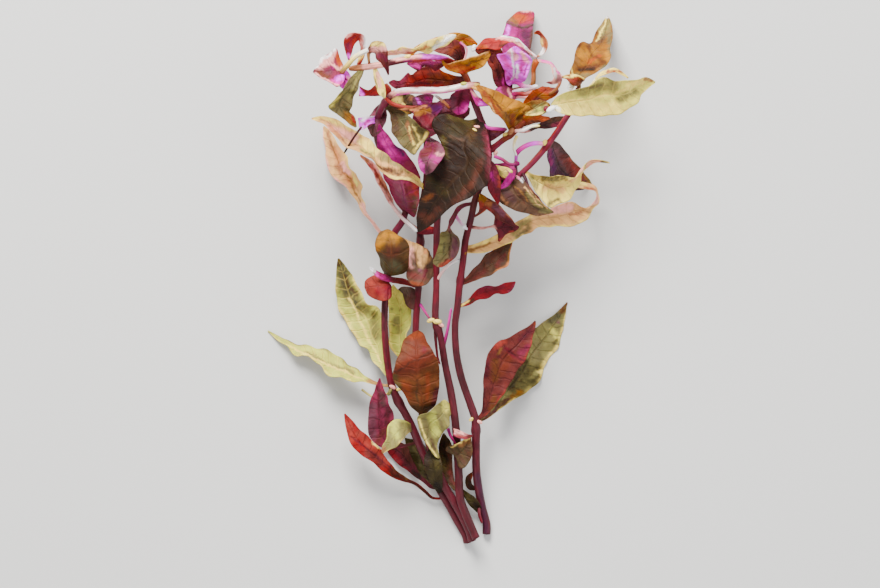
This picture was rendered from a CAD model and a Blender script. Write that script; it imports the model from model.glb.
"""The look of a cut bunch of alternanthera reineckii that lies on a pale surface.

Every stem, leaf, thin stalk and bud is built from a table of hand-placed
points, in millimetres of the shared frame: X is the photograph's right, Y its
up, along the stems, and Z up from the surface. Each piece is painted with a
base colour and a few brush strokes. Its veins, its mottling and its fine
relief come from a procedural material. The camera looks straight down, which
is the side that the photograph shows.
"""
import math

import bpy
import numpy as np
from mathutils import Matrix, Vector, noise


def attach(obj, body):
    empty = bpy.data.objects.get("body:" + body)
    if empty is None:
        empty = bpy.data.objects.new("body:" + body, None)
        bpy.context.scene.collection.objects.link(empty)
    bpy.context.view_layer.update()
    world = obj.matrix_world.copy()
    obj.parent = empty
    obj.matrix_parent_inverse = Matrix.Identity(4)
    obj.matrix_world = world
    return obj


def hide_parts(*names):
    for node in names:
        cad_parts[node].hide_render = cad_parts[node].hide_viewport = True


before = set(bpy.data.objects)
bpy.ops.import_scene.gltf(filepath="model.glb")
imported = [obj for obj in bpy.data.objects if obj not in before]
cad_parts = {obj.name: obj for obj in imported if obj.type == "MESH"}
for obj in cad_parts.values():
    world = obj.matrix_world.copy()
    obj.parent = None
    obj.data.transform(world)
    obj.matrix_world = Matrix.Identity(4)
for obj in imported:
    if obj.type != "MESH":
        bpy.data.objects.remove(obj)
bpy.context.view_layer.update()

TINY = 1e-9
MM = 0.001
MM_PER_CM = 10.0
CURVE_STEPS = 8
NOISE_STEPS = (17.3, 5.1, 9.7)
NOISE_DETAIL = 2.0

# Stems, in millimetres
STEM_RADIUS = 1.7
SHOOT_RADIUS = 1.5
TWIG_RADIUS = 1.25
STEM_SIDES = 18
STEM_STEP = 1.2
FEWEST_STEM_STEPS = 8
NODE_SWELL = 0.5
NODE_REACH = 2.4
LOW_SWELL = 0.35
LOW_SWELL_SPAN = (20.0, 80.0)
STEM_UNEVENNESS = 0.12
STEM_NOISE_SCALE = 0.12
SHOOT_FLARE = (1.25, 1.15, 1.06)
STEM_TAPER = (0.97, 0.9, 0.78, 0.6)
BASE_CAP = 0.2
TOP_CAP = 0.4

# Thin stalks and buds
THIN_SIDES = 10
STALK_RINGS = 24
STALK_TAPER = (0.85, 0.55)
BUD_RINGS = 9
BUD_FULLNESS = 0.8
BUD_TIP = 0.05

# Mesh of the leaves: steps in millimetres, and the fewest and most of them
ALONG_STEP = 0.6
ACROSS_STEP = 0.6
ALONG_COUNTS = (14, 100)
ACROSS_COUNTS = (6, 30)
SMOOTHING_ROUNDS = 3

# Form of the leaves, in millimetres and shares of a leaf's length
BLADE_THICKNESS = 0.3
RIB_THICKNESS = 0.75
RIB_REACH = 0.55
RIB_FADE = 0.7
RIB_LEAST_WIDTH = 2.0
STALK_THICKNESS = 1.3
STALK_EDGE = 0.04
STALK_SHARE = 0.12
UPPER_SHARE = 0.3
SMALLEST_WIDTH = 0.8
LOWEST = 0.15
ROOT_LENGTH = 3.8
ROOT_POWER = 1.5
TROUGH_POWER = 1.5

# Ripples of the leaves' edges and crumples of their blades, in millimetres.
# A layer of noise is its scale, its seed and its share.
RIPPLE_HEIGHT = 0.65
RIPPLE_LENGTH = 10.5
RIPPLE_POWER = 1.7
RIPPLE_START = (0.08, 0.3)
RIPPLE_END = (0.85, 1.0)
TIP_CALM = 0.6
FULL_RIPPLE_WIDTH = 9.0
LEAST_RIPPLE = 0.15
LEFT_PACE = 0.93
RIGHT_PACE = 1.08
RIGHT_SHIFT = 2.1
CRUMPLE_HEIGHT = 0.75
CRUMPLES = ((0.13, 0, 1.0), (0.34, 7, 0.45))

# Brush strokes: how far they wander and fray, in millimetres, how their edge
# softens as shares of their reach, and how much they cover
BRUSH_WANDER = 0.9
BRUSH_WANDER_X = ((0.22, 3, 1.0), (0.7, 11, 0.5))
BRUSH_WANDER_Y = ((0.22, 4, 1.0), (0.7, 12, 0.5))
BRUSH_FRAY = 0.6
BRUSH_FRAYS = ((0.4, 5, 1.0), (1.1, 6, 0.8))
BRUSH_CORE = 0.3
BRUSH_EDGE = 1.6
BRUSH_COVER = 0.72
BRUSH_DRYNESS = ((0.9, 13, 1.0),)

# Painted rims, as shares of half a leaf's width, and a leaf's underside
RIM_SPAN = (0.712, 0.952)
RIM_FRAY = 0.15
RIM_BREAKS = (-0.35, 0.3)
RIM_BREAK_NOISE = ((0.12, 8, 1.0),)
UNDER_TONE = "mauve"
UNDER_SHARE = 0.15

# Veins of the leaf material. A wave runs along the leaf, and its crests are the
# side veins: its pace in radians for each centimetre, its slant and its bend
# in radians, the bend's repeats for each metre, and how wide and strong the
# crests are. The midrib fades in between two shares of half the width.
VEIN_PACE = 13.0
VEIN_SLANT = 4.2
VEIN_BEND = 5.0
VEIN_BEND_SCALE = 140.0
VEIN_CREST = (0.72, 1.0)
VEIN_WEIGHT = 0.75
MIDRIB_EDGE = (0.10, 0.02)
VEIN_RELIEF = -0.6

# Mottling of the leaf material, in repeats for each metre, and its share of the
# relief
PATCH_SCALE = 260.0
PATCH_DETAIL = 4.0
PATCH_SPAN = (0.3, 0.7)
PATCH_RELIEF = 1.1
MOTTLE_LOSS = 0.55
GRAIN_SCALE = 1500.0
GRAIN_RELIEF = 0.22

# Streaks of the stem material
STREAK_STRETCH = (1.4, 4.0, 1.0)
STREAK_SCALE = 1.6
STREAK_DETAIL = 3.0
STREAK_SPAN = (0.3, 0.7)
STREAK_CONTRAST = 0.5
STREAK_SHADE = 0.72

# Finish of leaves and stems: gloss, strength and depth of the relief in
# metres, and colour and depth of the light that scatters inside
LEAF_FINISH = dict(gloss=0.16, relief_strength=0.8, relief_depth=0.0007,
                   scatter_tone=(1.0, 0.45, 0.3), scatter_depth=0.0012)
STEM_FINISH = dict(gloss=0.25, relief_strength=0.35, relief_depth=0.0004,
                   scatter_tone=(1.0, 0.35, 0.3), scatter_depth=0.0015)
SCATTER_SHARE = 0.15
STEM_ROUGHNESS = 0.5

# Camera and floor, in metres
SENSOR = 36.0
CAMERA_DISTANCE = 6.0
CAMERA_REACH = 100.0
PICTURE_WIDTH = 0.44
PICTURE_PLANE = 0.04
PICTURE_CENTRE = (-10.75 * MM, -8.75 * MM)
FLOOR_REACH = 4.0
FLOOR_TONES = ((0.62, 0.615, 0.60, 1.0), (0.66, 0.655, 0.64, 1.0))
FLOOR_CLOUD_SCALE = 2.0
FLOOR_CLOUD_SPAN = (0.2, 0.8)
FLOOR_ROUGHNESS = 0.8

# Light: the sky, and for each lamp its name, place, size, power and tone
SKY_TONE = (0.95, 0.97, 1.0)
SKY_POWER = 0.6
LAMP_TARGET = (0.0, 0.0, 0.03)
LAMPS = (
    ("key", (-0.25, 1.05, 0.95), 0.7, 62.0, (1.0, 0.985, 0.96)),
    ("side", (1.0, 0.1, 0.8), 0.9, 8.0, (0.95, 0.97, 1.0)),
    ("front", (-0.5, -1.1, 0.7), 0.9, 9.0, (1.0, 0.98, 0.97)),
)

# Paint colours
PALETTE = {
    "white": "f7f7f7",
    "cream": "f4d667",
    "bone": "d6ca5a",
    "blush": "f7a49a",
    "khaki": "78703c",
    "pale": "b5b54b",
    "sand": "d7a162",
    "peach": "ba7243",
    "skin": "965f3d",
    "tan": "7d5220",
    "gold": "a26a04",
    "mustard": "855105",
    "drab": "665b37",
    "grey": "4a452d",
    "olive": "3f3512",
    "hazel": "3d270d",
    "moss": "2d230a",
    "bark": "241709",
    "umber": "201007",
    "dark": "130704",
    "cocoa": "4b3323",
    "brown": "421d11",
    "wood": "5a2e0f",
    "rust": "722d0e",
    "brick": "612412",
    "redwood": "5d221e",
    "orange": "a04004",
    "coral": "9b1f17",
    "salmon": "892c21",
    "scarlet": "830e0d",
    "red": "790816",
    "crimson": "640a1d",
    "wine": "4f111d",
    "maroon": "3c0a12",
    "plum": "3b1028",
    "plumgrey": "46292a",
    "purple": "4d0a4b",
    "magenta": "7c0451",
    "rose": "751d39",
    "mauve": "673745",
    "hotpink": "a0046f",
    "pink": "e128aa",
    "lilac": "f74ff7",
}

# Each tone of leaf has a material of its own: the colour of its veins, how
# strong they are, its roughness and how mottled it is
LEAF_TONES = {
    "pale": ("cream", 0.24, 0.58, 0.25),
    "cream": ("khaki", 0.2, 0.58, 0.25),
    "peach": ("skin", 0.25, 0.58, 0.28),
    "olive": ("moss", 0.35, 0.6, 0.4),
    "brown": ("hazel", 0.22, 0.6, 0.5),
    "mustard": ("wood", 0.3, 0.58, 0.4),
    "orange": ("brick", 0.3, 0.58, 0.4),
    "red": ("maroon", 0.3, 0.58, 0.4),
    "maroon": ("dark", 0.35, 0.58, 0.4),
    "magenta": ("wine", 0.35, 0.58, 0.35),
    "pink": ("magenta", 0.3, 0.58, 0.3),
}

# Each stem: its radius, the stem that it grows from, the places of its leaf
# nodes as shares of its length, the path of its axis (x, y, z), its base
# colour and its brush strokes. A stroke is a colour, a reach and the points of
# its path (x, y), as seen from above.
STEMS = {
    "stem_left": dict(
        radius=STEM_RADIUS, grows_from=None, nodes=(0.27, 0.52, 0.82),
        path=((3.0, -134, 1.7), (2, -130, 1.8), (-3, -121, 2.4), (-8, -112, 3.4), (-13, -103, 5),
              (-20, -87, 9), (-26, -73, 13), (-33, -60, 15), (-36, -50, 17), (-38, -35, 19),
              (-38.6, -20, 20), (-37.5, 0, 20), (-36, 12, 20), (-34, 21, 22), (-29, 29, 24),
              (-28, 38, 25), (-31, 48, 25), (-37, 58, 26), (-42, 68, 30), (-42, 79, 37),
              (-38.5, 86.5, 45), (-34, 91, 52), (-26, 92.7, 56), (-10, 92.8, 60), (1, 94.8, 61),
              (9, 96, 60)),
        base="wine", strokes=(
            ("brick", 2.2, (-30, -100), (-32, -76)),
            ("crimson", 2.2, (-36, -52), (-38.6, -30)),
            ("wine", 2.5, (-38, -16), (-36, 10), (-30, 30)),
            ("maroon", 0.8, (-37, -46), (-39, -16), (-37, 6)),
            ("rose", 1.6, (-35.6, 20), (-29, 29)),
            ("redwood", 2.2, (-28, 34), (-29, 42)),
            ("rose", 2.2, (-40, 80), (-38, 87)),
            ("blush", 2.6, (-33, 92), (-10, 92), (4, 94)),
            ("white", 1.0, (-32, 93.4), (-10, 93.6), (2, 95)),
            ("pink", 0.8, (-32, 90.6), (-10, 90.8), (2, 92.4)),
            ("cream", 1.2, (8, 95), (14, 95.4)))),
    "stem_mid_left": dict(
        radius=STEM_RADIUS, grows_from=None, nodes=(0.3, 0.68),
        path=((5.4, -133, 6.1), (4, -128, 6.2), (0, -120, 6.6), (-5, -111, 7.4), (-10, -102, 8.6),
              (-15, -88, 12.5), (-19, -70, 14), (-21, -55, 15), (-22.8, -35, 16), (-22.8, -22, 17),
              (-21.5, -5, 18), (-20.5, 12, 19), (-20.7, 24, 21), (-19.5, 36, 24), (-17.5, 50, 27),
              (-17.5, 62, 31), (-17, 74, 36), (-15.5, 87, 42)),
        base="wine", strokes=(
            ("maroon", 1.8, (-19, -70), (-22, -45)),
            ("crimson", 1.6, (-22.8, -30), (-22, -10)),
            ("maroon", 0.8, (-21, 0), (-20, 30)))),
    "stem_centre": dict(
        radius=STEM_RADIUS, grows_from=None, nodes=(0.51, 0.8),
        path=((7.4, -131.5, 10.2), (5, -126, 10.3), (2, -119, 10.5), (-0.7, -111, 11), (-1.3, -100, 12),
              (-2, -85, 14), (-3.2, -72, 17), (-5.3, -58, 19), (-8, -45, 21), (-10.5, -30, 24),
              (-13, -22, 25), (-12.6, -5, 26), (-12.5, 15, 27), (-11.5, 33, 30), (-7, 48, 35),
              (-2, 62, 39), (-2, 76, 42)),
        base="wine", strokes=(
            ("maroon", 2.2, (5, -128), (-1.4, -100), (-3, -72)),
            ("maroon", 1.6, (-6.6, -60), (-10, -38)),
            ("crimson", 1.7, (-12.6, -12), (-12.5, 14)))),
    "stem_right": dict(
        radius=STEM_RADIUS, grows_from=None, nodes=(0.18, 0.44, 0.88),
        path=((12.6, -129.5, 2.0), (12.6, -124, 2.6), (10.5, -116, 4.5), (8.7, -107, 7), (7.5, -97, 10),
              (7.3, -85, 13), (7, -72.5, 16), (4.5, -64, 18), (2, -57, 20), (-0.5, -49, 23),
              (-2.6, -38, 26), (-3.2, -25, 29), (-2, -15, 31), (-1, -5, 33), (0.8, 8, 35), (2, 18, 37),
              (4.5, 28, 40), (7, 39, 43), (11, 49, 46), (13.6, 59, 48), (12.6, 70, 49), (9, 80, 50),
              (4.5, 92, 50), (2, 100, 51), (-3, 105.5, 53), (-10, 108.8, 56), (-20, 109.2, 58),
              (-30, 107.8, 59), (-42, 105.2, 60), (-56, 103.5, 60)),
        base="wine", strokes=(
            ("plum", 1.6, (12.6, -129), (8.6, -100)),
            ("maroon", 1.6, (2, -57), (-2.6, -38)),
            ("crimson", 1.6, (-1, -8), (3.5, 24)),
            ("redwood", 1.6, (6, 34), (9, 52)),
            ("mauve", 2.0, (9, 74), (5, 84)),
            ("rust", 2.0, (3, 98), (0, 102)),
            ("coral", 2.4, (-5, 107), (-24, 107.4)),
            ("magenta", 1.2, (-26, 107.4), (-28, 107.8)),
            ("peach", 2.4, (-40, 106), (-56, 104)),
            ("blush", 1.6, (-40, 105.4), (-48, 104.6)),
            ("lilac", 1.2, (-8, 109.6), (-20, 109.8)),
            ("blush", 1.1, (-20, 109.8), (-34, 108.6)))),
    "stem_right_branch": dict(
        radius=SHOOT_RADIUS, grows_from="stem_right", nodes=(0.55,),
        path=((11, 46.5, 44), (15, 46.5, 42), (20, 46.5, 41), (26, 48.5, 41), (31, 52.5, 42),
              (36.5, 58, 43), (42, 64.5, 44), (46.5, 70.5, 45), (50.5, 76.5, 46), (54, 82, 46),
              (57, 88, 46), (58.5, 94, 47)),
        base="crimson", strokes=(
            ("maroon", 1.6, (12, 46), (22, 48)),
            ("rose", 1.8, (28, 50), (40, 62)),
            ("salmon", 0.7, (30, 53.6), (40, 63.6)),
            ("rose", 1.6, (44, 67), (52, 80), (58, 92)),
            ("coral", 0.8, (44, 69), (50, 78), (57, 92)))),
    "stem_inner_branch": dict(
        radius=SHOOT_RADIUS, grows_from="stem_right", nodes=(0.34,),
        path=((14.6, 63.3, 49), (20, 67.5, 51), (25, 71.3, 52), (31, 76.5, 53), (37, 80.5, 54),
              (43, 84, 56)),
        base="crimson", strokes=(
            ("rust", 2.0, (22, 69), (30, 76)),
            ("rose", 1.0, (14, 58), (20, 66)))),
    "stem_inner_shoot": dict(
        radius=SHOOT_RADIUS, grows_from="stem_inner_branch", nodes=(0.95,),
        path=((25, 71.8, 50), (25.5, 79, 45), (24.5, 87, 42), (23.6, 94, 42)),
        base="rose", strokes=(
            ("pink", 1.4, (25, 84), (24, 94)),)),
    "stem_top_twig": dict(
        radius=TWIG_RADIUS, grows_from="stem_inner_shoot", nodes=(0.95,),
        path=((24, 92.4, 43), (30, 93.8, 47), (35, 95.2, 49), (36, 99, 50), (36, 103.5, 51),
              (37.4, 107.8, 53)),
        base="tan", strokes=(
            ("peach", 1.4, (30, 94), (36, 100)),
            ("orange", 1.6, (36, 103), (37.4, 108)))),
}

# Each leaf: the stem that it grows from and the tone of its material.
# "heights" are the midrib's heights at even steps after the stalk, "lifts" how
# much higher the right edge is than the left one, and "trough" how far the
# midrib lies below its edges, as a share of the width. "left" and "right" are
# its edges from the stalk to the tip, as (x, y) seen from above, named for
# someone who looks from the stalk to the tip. Then come its base colour, the
# colours of its left and right rims where it has them, and its brush strokes.
LEAVES = {}


def leaf(name, rims=(None, None), **form):
    """Enter one leaf in the table."""
    LEAVES[name] = dict(form, rims=rims)


# Leaves of the lower stems
leaf("leaf_pale_far_left", stem="stem_left", tone="pale",
     heights=(13, 11, 7, 3, 0.4), lifts=(0, -7, -9, -5, 0), trough=0.08,
     left=((-36, -56), (-43, -54.3), (-50, -52.7), (-57, -52), (-61, -50.4), (-68, -49), (-71, -44),
           (-77, -40.2), (-84, -39), (-88, -35), (-93, -31.6), (-97.4, -27.6)),
     right=((-36, -54.6), (-42.5, -53), (-48, -50), (-53, -46), (-57, -44), (-62, -40), (-66, -37.2),
            (-74, -35.6), (-79, -34.2), (-84, -33.6), (-92, -29.8), (-97.4, -27)),
     base="pale", rims=("cream", "khaki"), strokes=(
         ("skin", 1.6, (-38, -55), (-43, -53.4), (-46, -52.2)),
         ("khaki", 1.0, (-54, -47.6), (-66, -43.4), (-78, -38)),
         ("cream", 0.45, (-49, -51.4), (-60, -46.6), (-74, -40.6), (-88, -33.6))))
leaf("leaf_blotched_left", stem="stem_left", tone="pale",
     heights=(12, 8, 6, 6, 9, 12), lifts=(0, 3, 6, 6, 3, 0), trough=0.1,
     left=((-37, -52), (-40.5, -46.5), (-45, -42), (-47, -36.4), (-51, -34.5), (-54, -29), (-58, -23),
           (-61.5, -17), (-63.2, -8), (-63, 2), (-62.2, 9)),
     right=((-36, -51), (-37.8, -45), (-38, -36), (-38.4, -28), (-40, -19), (-42, -15), (-47, -14),
            (-50, -8.5), (-53, -3), (-57.5, 4.5), (-61.4, 9.2)),
     base="pale", rims=("cream", "cream"), strokes=(
         ("drab", 3.6, (-59, 2), (-57, -9), (-50, -17)),
         ("grey", 3.0, (-61, 7), (-59.4, -2), (-57, -8)),
         ("hazel", 1.2, (-59, 0), (-57, -5)),
         ("cocoa", 1.4, (-55, -7), (-52.6, -9.4)),
         ("grey", 1.4, (-56, -12), (-53, -15)),
         ("hazel", 1.2, (-61.4, 6), (-61.8, 9)),
         ("khaki", 2.6, (-45, -20), (-43, -30)),
         ("olive", 1.2, (-43, -17.6), (-45, -20)),
         ("cream", 0.5, (-40.6, -43), (-46, -33), (-52, -21), (-57, -11))))
leaf("leaf_pale_mid_left", stem="stem_mid_left", tone="pale",
     heights=(11, 9, 9, 11), lifts=(0, 4, 5, 2, 0), trough=0.1,
     left=((-22.5, -50), (-27, -44), (-33, -39.5), (-36, -34), (-36.4, -26), (-36.6, -18), (-36.6, -10),
           (-34.6, -4)),
     right=((-22, -48.5), (-25.5, -43), (-28, -36), (-27.6, -30), (-25.8, -24), (-25.2, -17),
            (-26.5, -11), (-30.5, -8), (-34, -4)),
     base="pale", rims=("cream", "cream"), strokes=(
         ("khaki", 1.6, (-33, -21), (-31.6, -28)),
         ("drab", 0.8, (-35, -16.4)),
         ("drab", 0.7, (-30.6, -17)),
         ("drab", 0.9, (-34, -24)),
         ("tan", 0.7, (-30.4, -24.6)),
         ("bone", 3.0, (-34, -5), (-31, -10), (-28, -14)),
         ("cream", 1.0, (-35, -5))))
leaf("leaf_orange_folded", stem="stem_mid_left", tone="orange",
     heights=(21, 24, 27, 31, 27, 21), lifts=(0, -3, -4, 2, 0), trough=-0.06,
     left=((-20, -70), (-22.5, -67.8), (-26, -64.5), (-29, -58.5), (-33.6, -53), (-34.3, -49), (-33, -43),
           (-30.5, -37), (-28.5, -31.5), (-25, -28.4), (-21.8, -27)),
     right=((-18.6, -70), (-16.5, -67.5), (-13.5, -65), (-12, -61), (-11.2, -55), (-10.9, -49),
            (-11.6, -42.5), (-14, -38), (-17, -33), (-19, -28.8), (-21.3, -27)),
     base="wood", strokes=(
         ("brick", 6.0, (-22, -33), (-20, -38), (-26, -43)),
         ("brick", 3.0, (-32, -48), (-27, -44), (-15, -38.6)),
         ("crimson", 1.6, (-18.4, -37)),
         ("rust", 1.6, (-25, -31), (-21, -30)),
         ("rust", 2.0, (-28, -54), (-27, -60)),
         ("rust", 1.2, (-17, -49), (-17.4, -60)),
         ("brown", 0.5, (-33, -47.6), (-27, -43.6), (-15, -38)),
         ("hazel", 0.4, (-22.8, -48), (-22, -65)),
         ("hazel", 1.8, (-23, -66), (-16.6, -66)),
         ("olive", 1.4, (-33, -50), (-31.4, -56)),
         ("maroon", 1.4, (-12, -57), (-14, -64))))
leaf("leaf_magenta_left", stem="stem_left", tone="magenta",
     heights=(8, 8, 11, 16, 19, 19), lifts=(0, 3, 6, 5, 0), trough=0.08,
     left=((-23.5, -84.5), (-30, -86), (-36.5, -86.6), (-42, -84.6), (-46, -81), (-46.8, -75),
           (-46.8, -68), (-45.5, -62), (-43.3, -55.8), (-41.3, -51)),
     right=((-23.2, -83), (-30, -84.3), (-34.6, -82.6), (-36.4, -78), (-34.2, -73.5), (-34, -70),
            (-35.4, -66), (-37.2, -61), (-39.2, -55.5), (-40.8, -51)),
     base="rose", strokes=(
         ("wine", 1.6, (-37, -66), (-37.4, -76)),
         ("mauve", 2.4, (-45, -66), (-45.6, -74), (-44.6, -80)),
         ("plumgrey", 1.4, (-40.6, -58), (-39.4, -64)),
         ("redwood", 2.0, (-42, -82.6), (-38.6, -78)),
         ("wine", 0.4, (-41.6, -54), (-41.8, -68), (-41, -80)),
         ("brown", 1.6, (-36, -85.4), (-24, -84))))
leaf("leaf_red_lower_left", stem="stem_left", tone="red",
     heights=(6, 9, 14, 17, 17, 15), lifts=(0, -2, -4, -3, 0), trough=0.12,
     left=((-13, -114.6), (-18, -109.3), (-23.5, -104.8), (-30, -102.6), (-35, -101), (-40, -97),
           (-45, -93), (-50, -89.5), (-54.6, -85.5), (-57, -80), (-58.4, -74), (-58.9, -69)),
     right=((-12.4, -113.4), (-17.2, -108), (-22.8, -103.4), (-27, -101.4), (-31.5, -98.4), (-36, -93.6),
            (-38.8, -89), (-42.5, -84.6), (-47, -80), (-51, -76.6), (-55, -72), (-58.3, -68.7)),
     base="scarlet", strokes=(
         ("salmon", 2.2, (-57.4, -74), (-55, -80)),
         ("salmon", 1.5, (-52, -78), (-42, -88), (-36, -94)),
         ("redwood", 2.0, (-47, -88), (-40, -94)),
         ("brown", 2.4, (-26, -102.4), (-34, -98.6)),
         ("umber", 1.6, (-13, -114), (-24, -104)),
         ("cream", 0.5, (-44, -83), (-41, -86)),
         ("wine", 0.4, (-55, -80), (-46, -87), (-34, -97)),
         ("tan", 0.7, (-34, -96), (-27, -101.2))))
leaf("leaf_dark_red_low", stem="stem_left", tone="maroon",
     heights=(5.5, 5, 3.5, 3, 2), lifts=(0, 1, 2, 1, 0), trough=0.05,
     left=((-14.5, -109), (-17.5, -105), (-22.5, -101.3), (-27, -98), (-32, -94), (-36, -90), (-38, -86)),
     right=((-14, -107.6), (-16.6, -103.4), (-21.6, -98.4), (-24.6, -92), (-27, -86), (-30, -83.4),
            (-34.5, -83), (-37.6, -85.6)),
     base="wine", strokes=(
         ("brown", 2.4, (-29, -85.6), (-25.6, -92)),
         ("red", 1.5, (-36, -87.4), (-31, -94), (-26.6, -99.6)),
         ("umber", 1.6, (-24, -99), (-21, -101))))
leaf("leaf_cream_left", stem="stem_left", tone="cream",
     heights=(22, 26, 27, 25), lifts=(0, -5, -7, -4, 0), trough=0.1,
     left=((-23, -77), (-26.5, -78.6), (-30, -82.5), (-35, -86), (-39.4, -88.8)),
     right=((-22.4, -75), (-26, -73.4), (-30, -72), (-33.5, -71.4), (-36.4, -74.5), (-37.4, -80),
            (-39.6, -84.5), (-40, -88.2)),
     base="khaki", rims=("cream", "pale"), strokes=(
         ("drab", 2.2, (-25, -77), (-29, -80)),
         ("skin", 0.9, (-38.6, -86), (-40, -88.4)),
         ("pale", 2.2, (-34, -74), (-33, -79))))
leaf("leaf_cream_centre", stem="stem_centre", tone="cream",
     heights=(23, 24, 22, 20, 18), lifts=(0, 4, 6, 3, 0), trough=0.08,
     left=((-6.4, -68), (-6, -71), (-6, -74.5), (-8.4, -77.6), (-11, -81), (-11.8, -86), (-11, -91)),
     right=((-6.8, -66), (-8.2, -61.6), (-11.5, -63.8), (-16, -67.4), (-21.6, -70), (-21.8, -74),
            (-20.6, -79), (-17.5, -84), (-14, -89.6), (-11.6, -91.4)),
     base="khaki", strokes=(
         ("pale", 2.2, (-14, -70), (-13, -78)),
         ("drab", 1.6, (-18, -72), (-16, -80)),
         ("drab", 1.0, (-11, -70), (-10, -76)),
         ("bone", 1.8, (-8.2, -62.8), (-7, -66)),
         ("cream", 0.5, (-21, -72), (-17.6, -82), (-12.6, -90)),
         ("cocoa", 0.9, (-14.6, -82), (-13, -87))))
leaf("leaf_olive_back", stem="stem_left", tone="olive",
     heights=(1.9, 1.2, 1.2, 0.6), lifts=(0, 1, 2, 1, 0), trough=0.05,
     left=((-13.6, -105.5), (-18.5, -102.5), (-22.6, -98.5), (-25.4, -92), (-27.6, -86), (-28.6, -81)),
     right=((-12.4, -104.6), (-13.6, -100), (-14.2, -94), (-16, -88), (-21, -83), (-27, -81.4)),
     base="olive", strokes=(
         ("drab", 1.3, (-23, -86), (-19, -97)),
         ("umber", 1.6, (-15, -102), (-17.6, -99)),
         ("umber", 1.2, (-15.4, -93), (-18, -88))))
leaf("leaf_olive_front", stem="stem_left", tone="olive",
     heights=(13, 17, 17, 15), lifts=(0, 1, 2, 1, 0), trough=0.06,
     left=((-10.6, -111), (-13.6, -106.5), (-16.6, -102), (-18.4, -96), (-18.6, -90), (-15, -85)),
     right=((-9.4, -110), (-9.4, -105), (-9.4, -100), (-9.8, -94), (-11.6, -88), (-14.4, -84.6)),
     base="moss", strokes=(
         ("umber", 1.6, (-17, -88), (-17.4, -96)),
         ("olive", 1.2, (-13, -90), (-12, -97)),
         ("dark", 1.4, (-10, -108), (-13, -104))))
leaf("leaf_brown_centre", stem="stem_centre", tone="brown",
     heights=(7, 6, 9, 12), lifts=(0, 0, 1, 1, 0), trough=0.06,
     left=((-2.6, -109), (-6, -105), (-9.6, -99), (-10.8, -92), (-11.4, -85), (-9.4, -79)),
     right=((-1.8, -108), (-3.6, -102), (-4.4, -96), (-4.6, -90), (-5, -84), (-8.6, -78.6)),
     base="hazel", strokes=(
         ("umber", 1.8, (-9, -84), (-8, -92)),
         ("brown", 1.2, (-6, -88), (-5, -98)),
         ("redwood", 1.2, (-4, -103), (-6.4, -99)),
         ("olive", 1.0, (-10, -90), (-8.4, -96))))
leaf("leaf_red_right", stem="stem_right", tone="red",
     heights=(21, 23, 25, 25, 23, 21), lifts=(0, -3, -5, -4, 0), trough=0.07,
     left=((9, -71.4), (10.4, -66), (10.8, -58), (11.2, -50), (12.4, -42), (15, -36), (18.5, -32.6),
           (23, -31), (28, -28), (33.5, -25), (36.8, -22)),
     right=((9.8, -72.4), (13.4, -68.6), (17, -64.6), (20.4, -60), (24, -54.4), (28, -47.4),
            (31.4, -42.8), (33.4, -39), (35.4, -32), (37, -26), (37.4, -22.6)),
     base="redwood", rims=(None, "salmon"), strokes=(
         ("brick", 2.4, (24, -40), (20, -48)),
         ("wood", 2.0, (17, -43), (17, -52)),
         ("wood", 1.4, (16.4, -61), (14.6, -66)),
         ("salmon", 1.3, (17, -34.8), (22, -33)),
         ("crimson", 1.1, (22.4, -36.6), (27, -40), (31.8, -42.2)),
         ("maroon", 0.5, (24, -37.6), (31, -42)),
         ("rose", 1.5, (33.4, -36), (30, -38)),
         ("wine", 1.5, (30, -31), (34, -28)),
         ("wine", 1.3, (12.4, -50), (13.4, -43)),
         ("maroon", 0.9, (10.6, -68), (11, -56)),
         ("tan", 0.7, (20, -36.4), (18.6, -39)),
         ("orange", 0.9, (37, -24))))
leaf("leaf_olive_right", stem="stem_right", tone="olive",
     heights=(10, 6, 4, 3, 2, 0.4), lifts=(0, -3, -6, -5, 0), trough=0.08,
     left=((9.4, -72.6), (14, -67.6), (17, -60), (20, -50), (25, -41), (31, -33), (37, -26), (44, -21),
           (49, -17), (53.2, -12.8)),
     right=((10.4, -73.6), (17, -68.6), (24, -63.4), (32, -58.8), (38, -54), (41, -49), (42.2, -44),
            (48.8, -35.4), (50.6, -28), (52.2, -22), (52.8, -16), (53.5, -13.2)),
     base="khaki", rims=("drab", "cream"), strokes=(
         ("olive", 4.0, (28, -56), (33, -46)),
         ("olive", 2.2, (36, -52), (39, -46)),
         ("moss", 1.5, (25.6, -56), (28, -49), (33, -43)),
         ("mustard", 1.1, (25.6, -60.6), (30, -57.4)),
         ("khaki", 0.9, (35, -51), (38, -48)),
         ("brown", 1.6, (19, -64.6), (24, -62)),
         ("wine", 1.3, (11, -72), (17.6, -66.6)),
         ("drab", 2.8, (38.6, -33), (38, -41)),
         ("bone", 1.4, (46, -27), (49, -31)),
         ("cream", 1.0, (48.4, -35.4), (45, -40), (40, -48)),
         ("olive", 0.9, (46, -33.2), (48.4, -31.8)),
         ("grey", 1.8, (45, -22.6), (49, -19)),
         ("mauve", 1.0, (48.8, -23)),
         ("wood", 1.5, (50.4, -17.2), (52.8, -14))))
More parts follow.
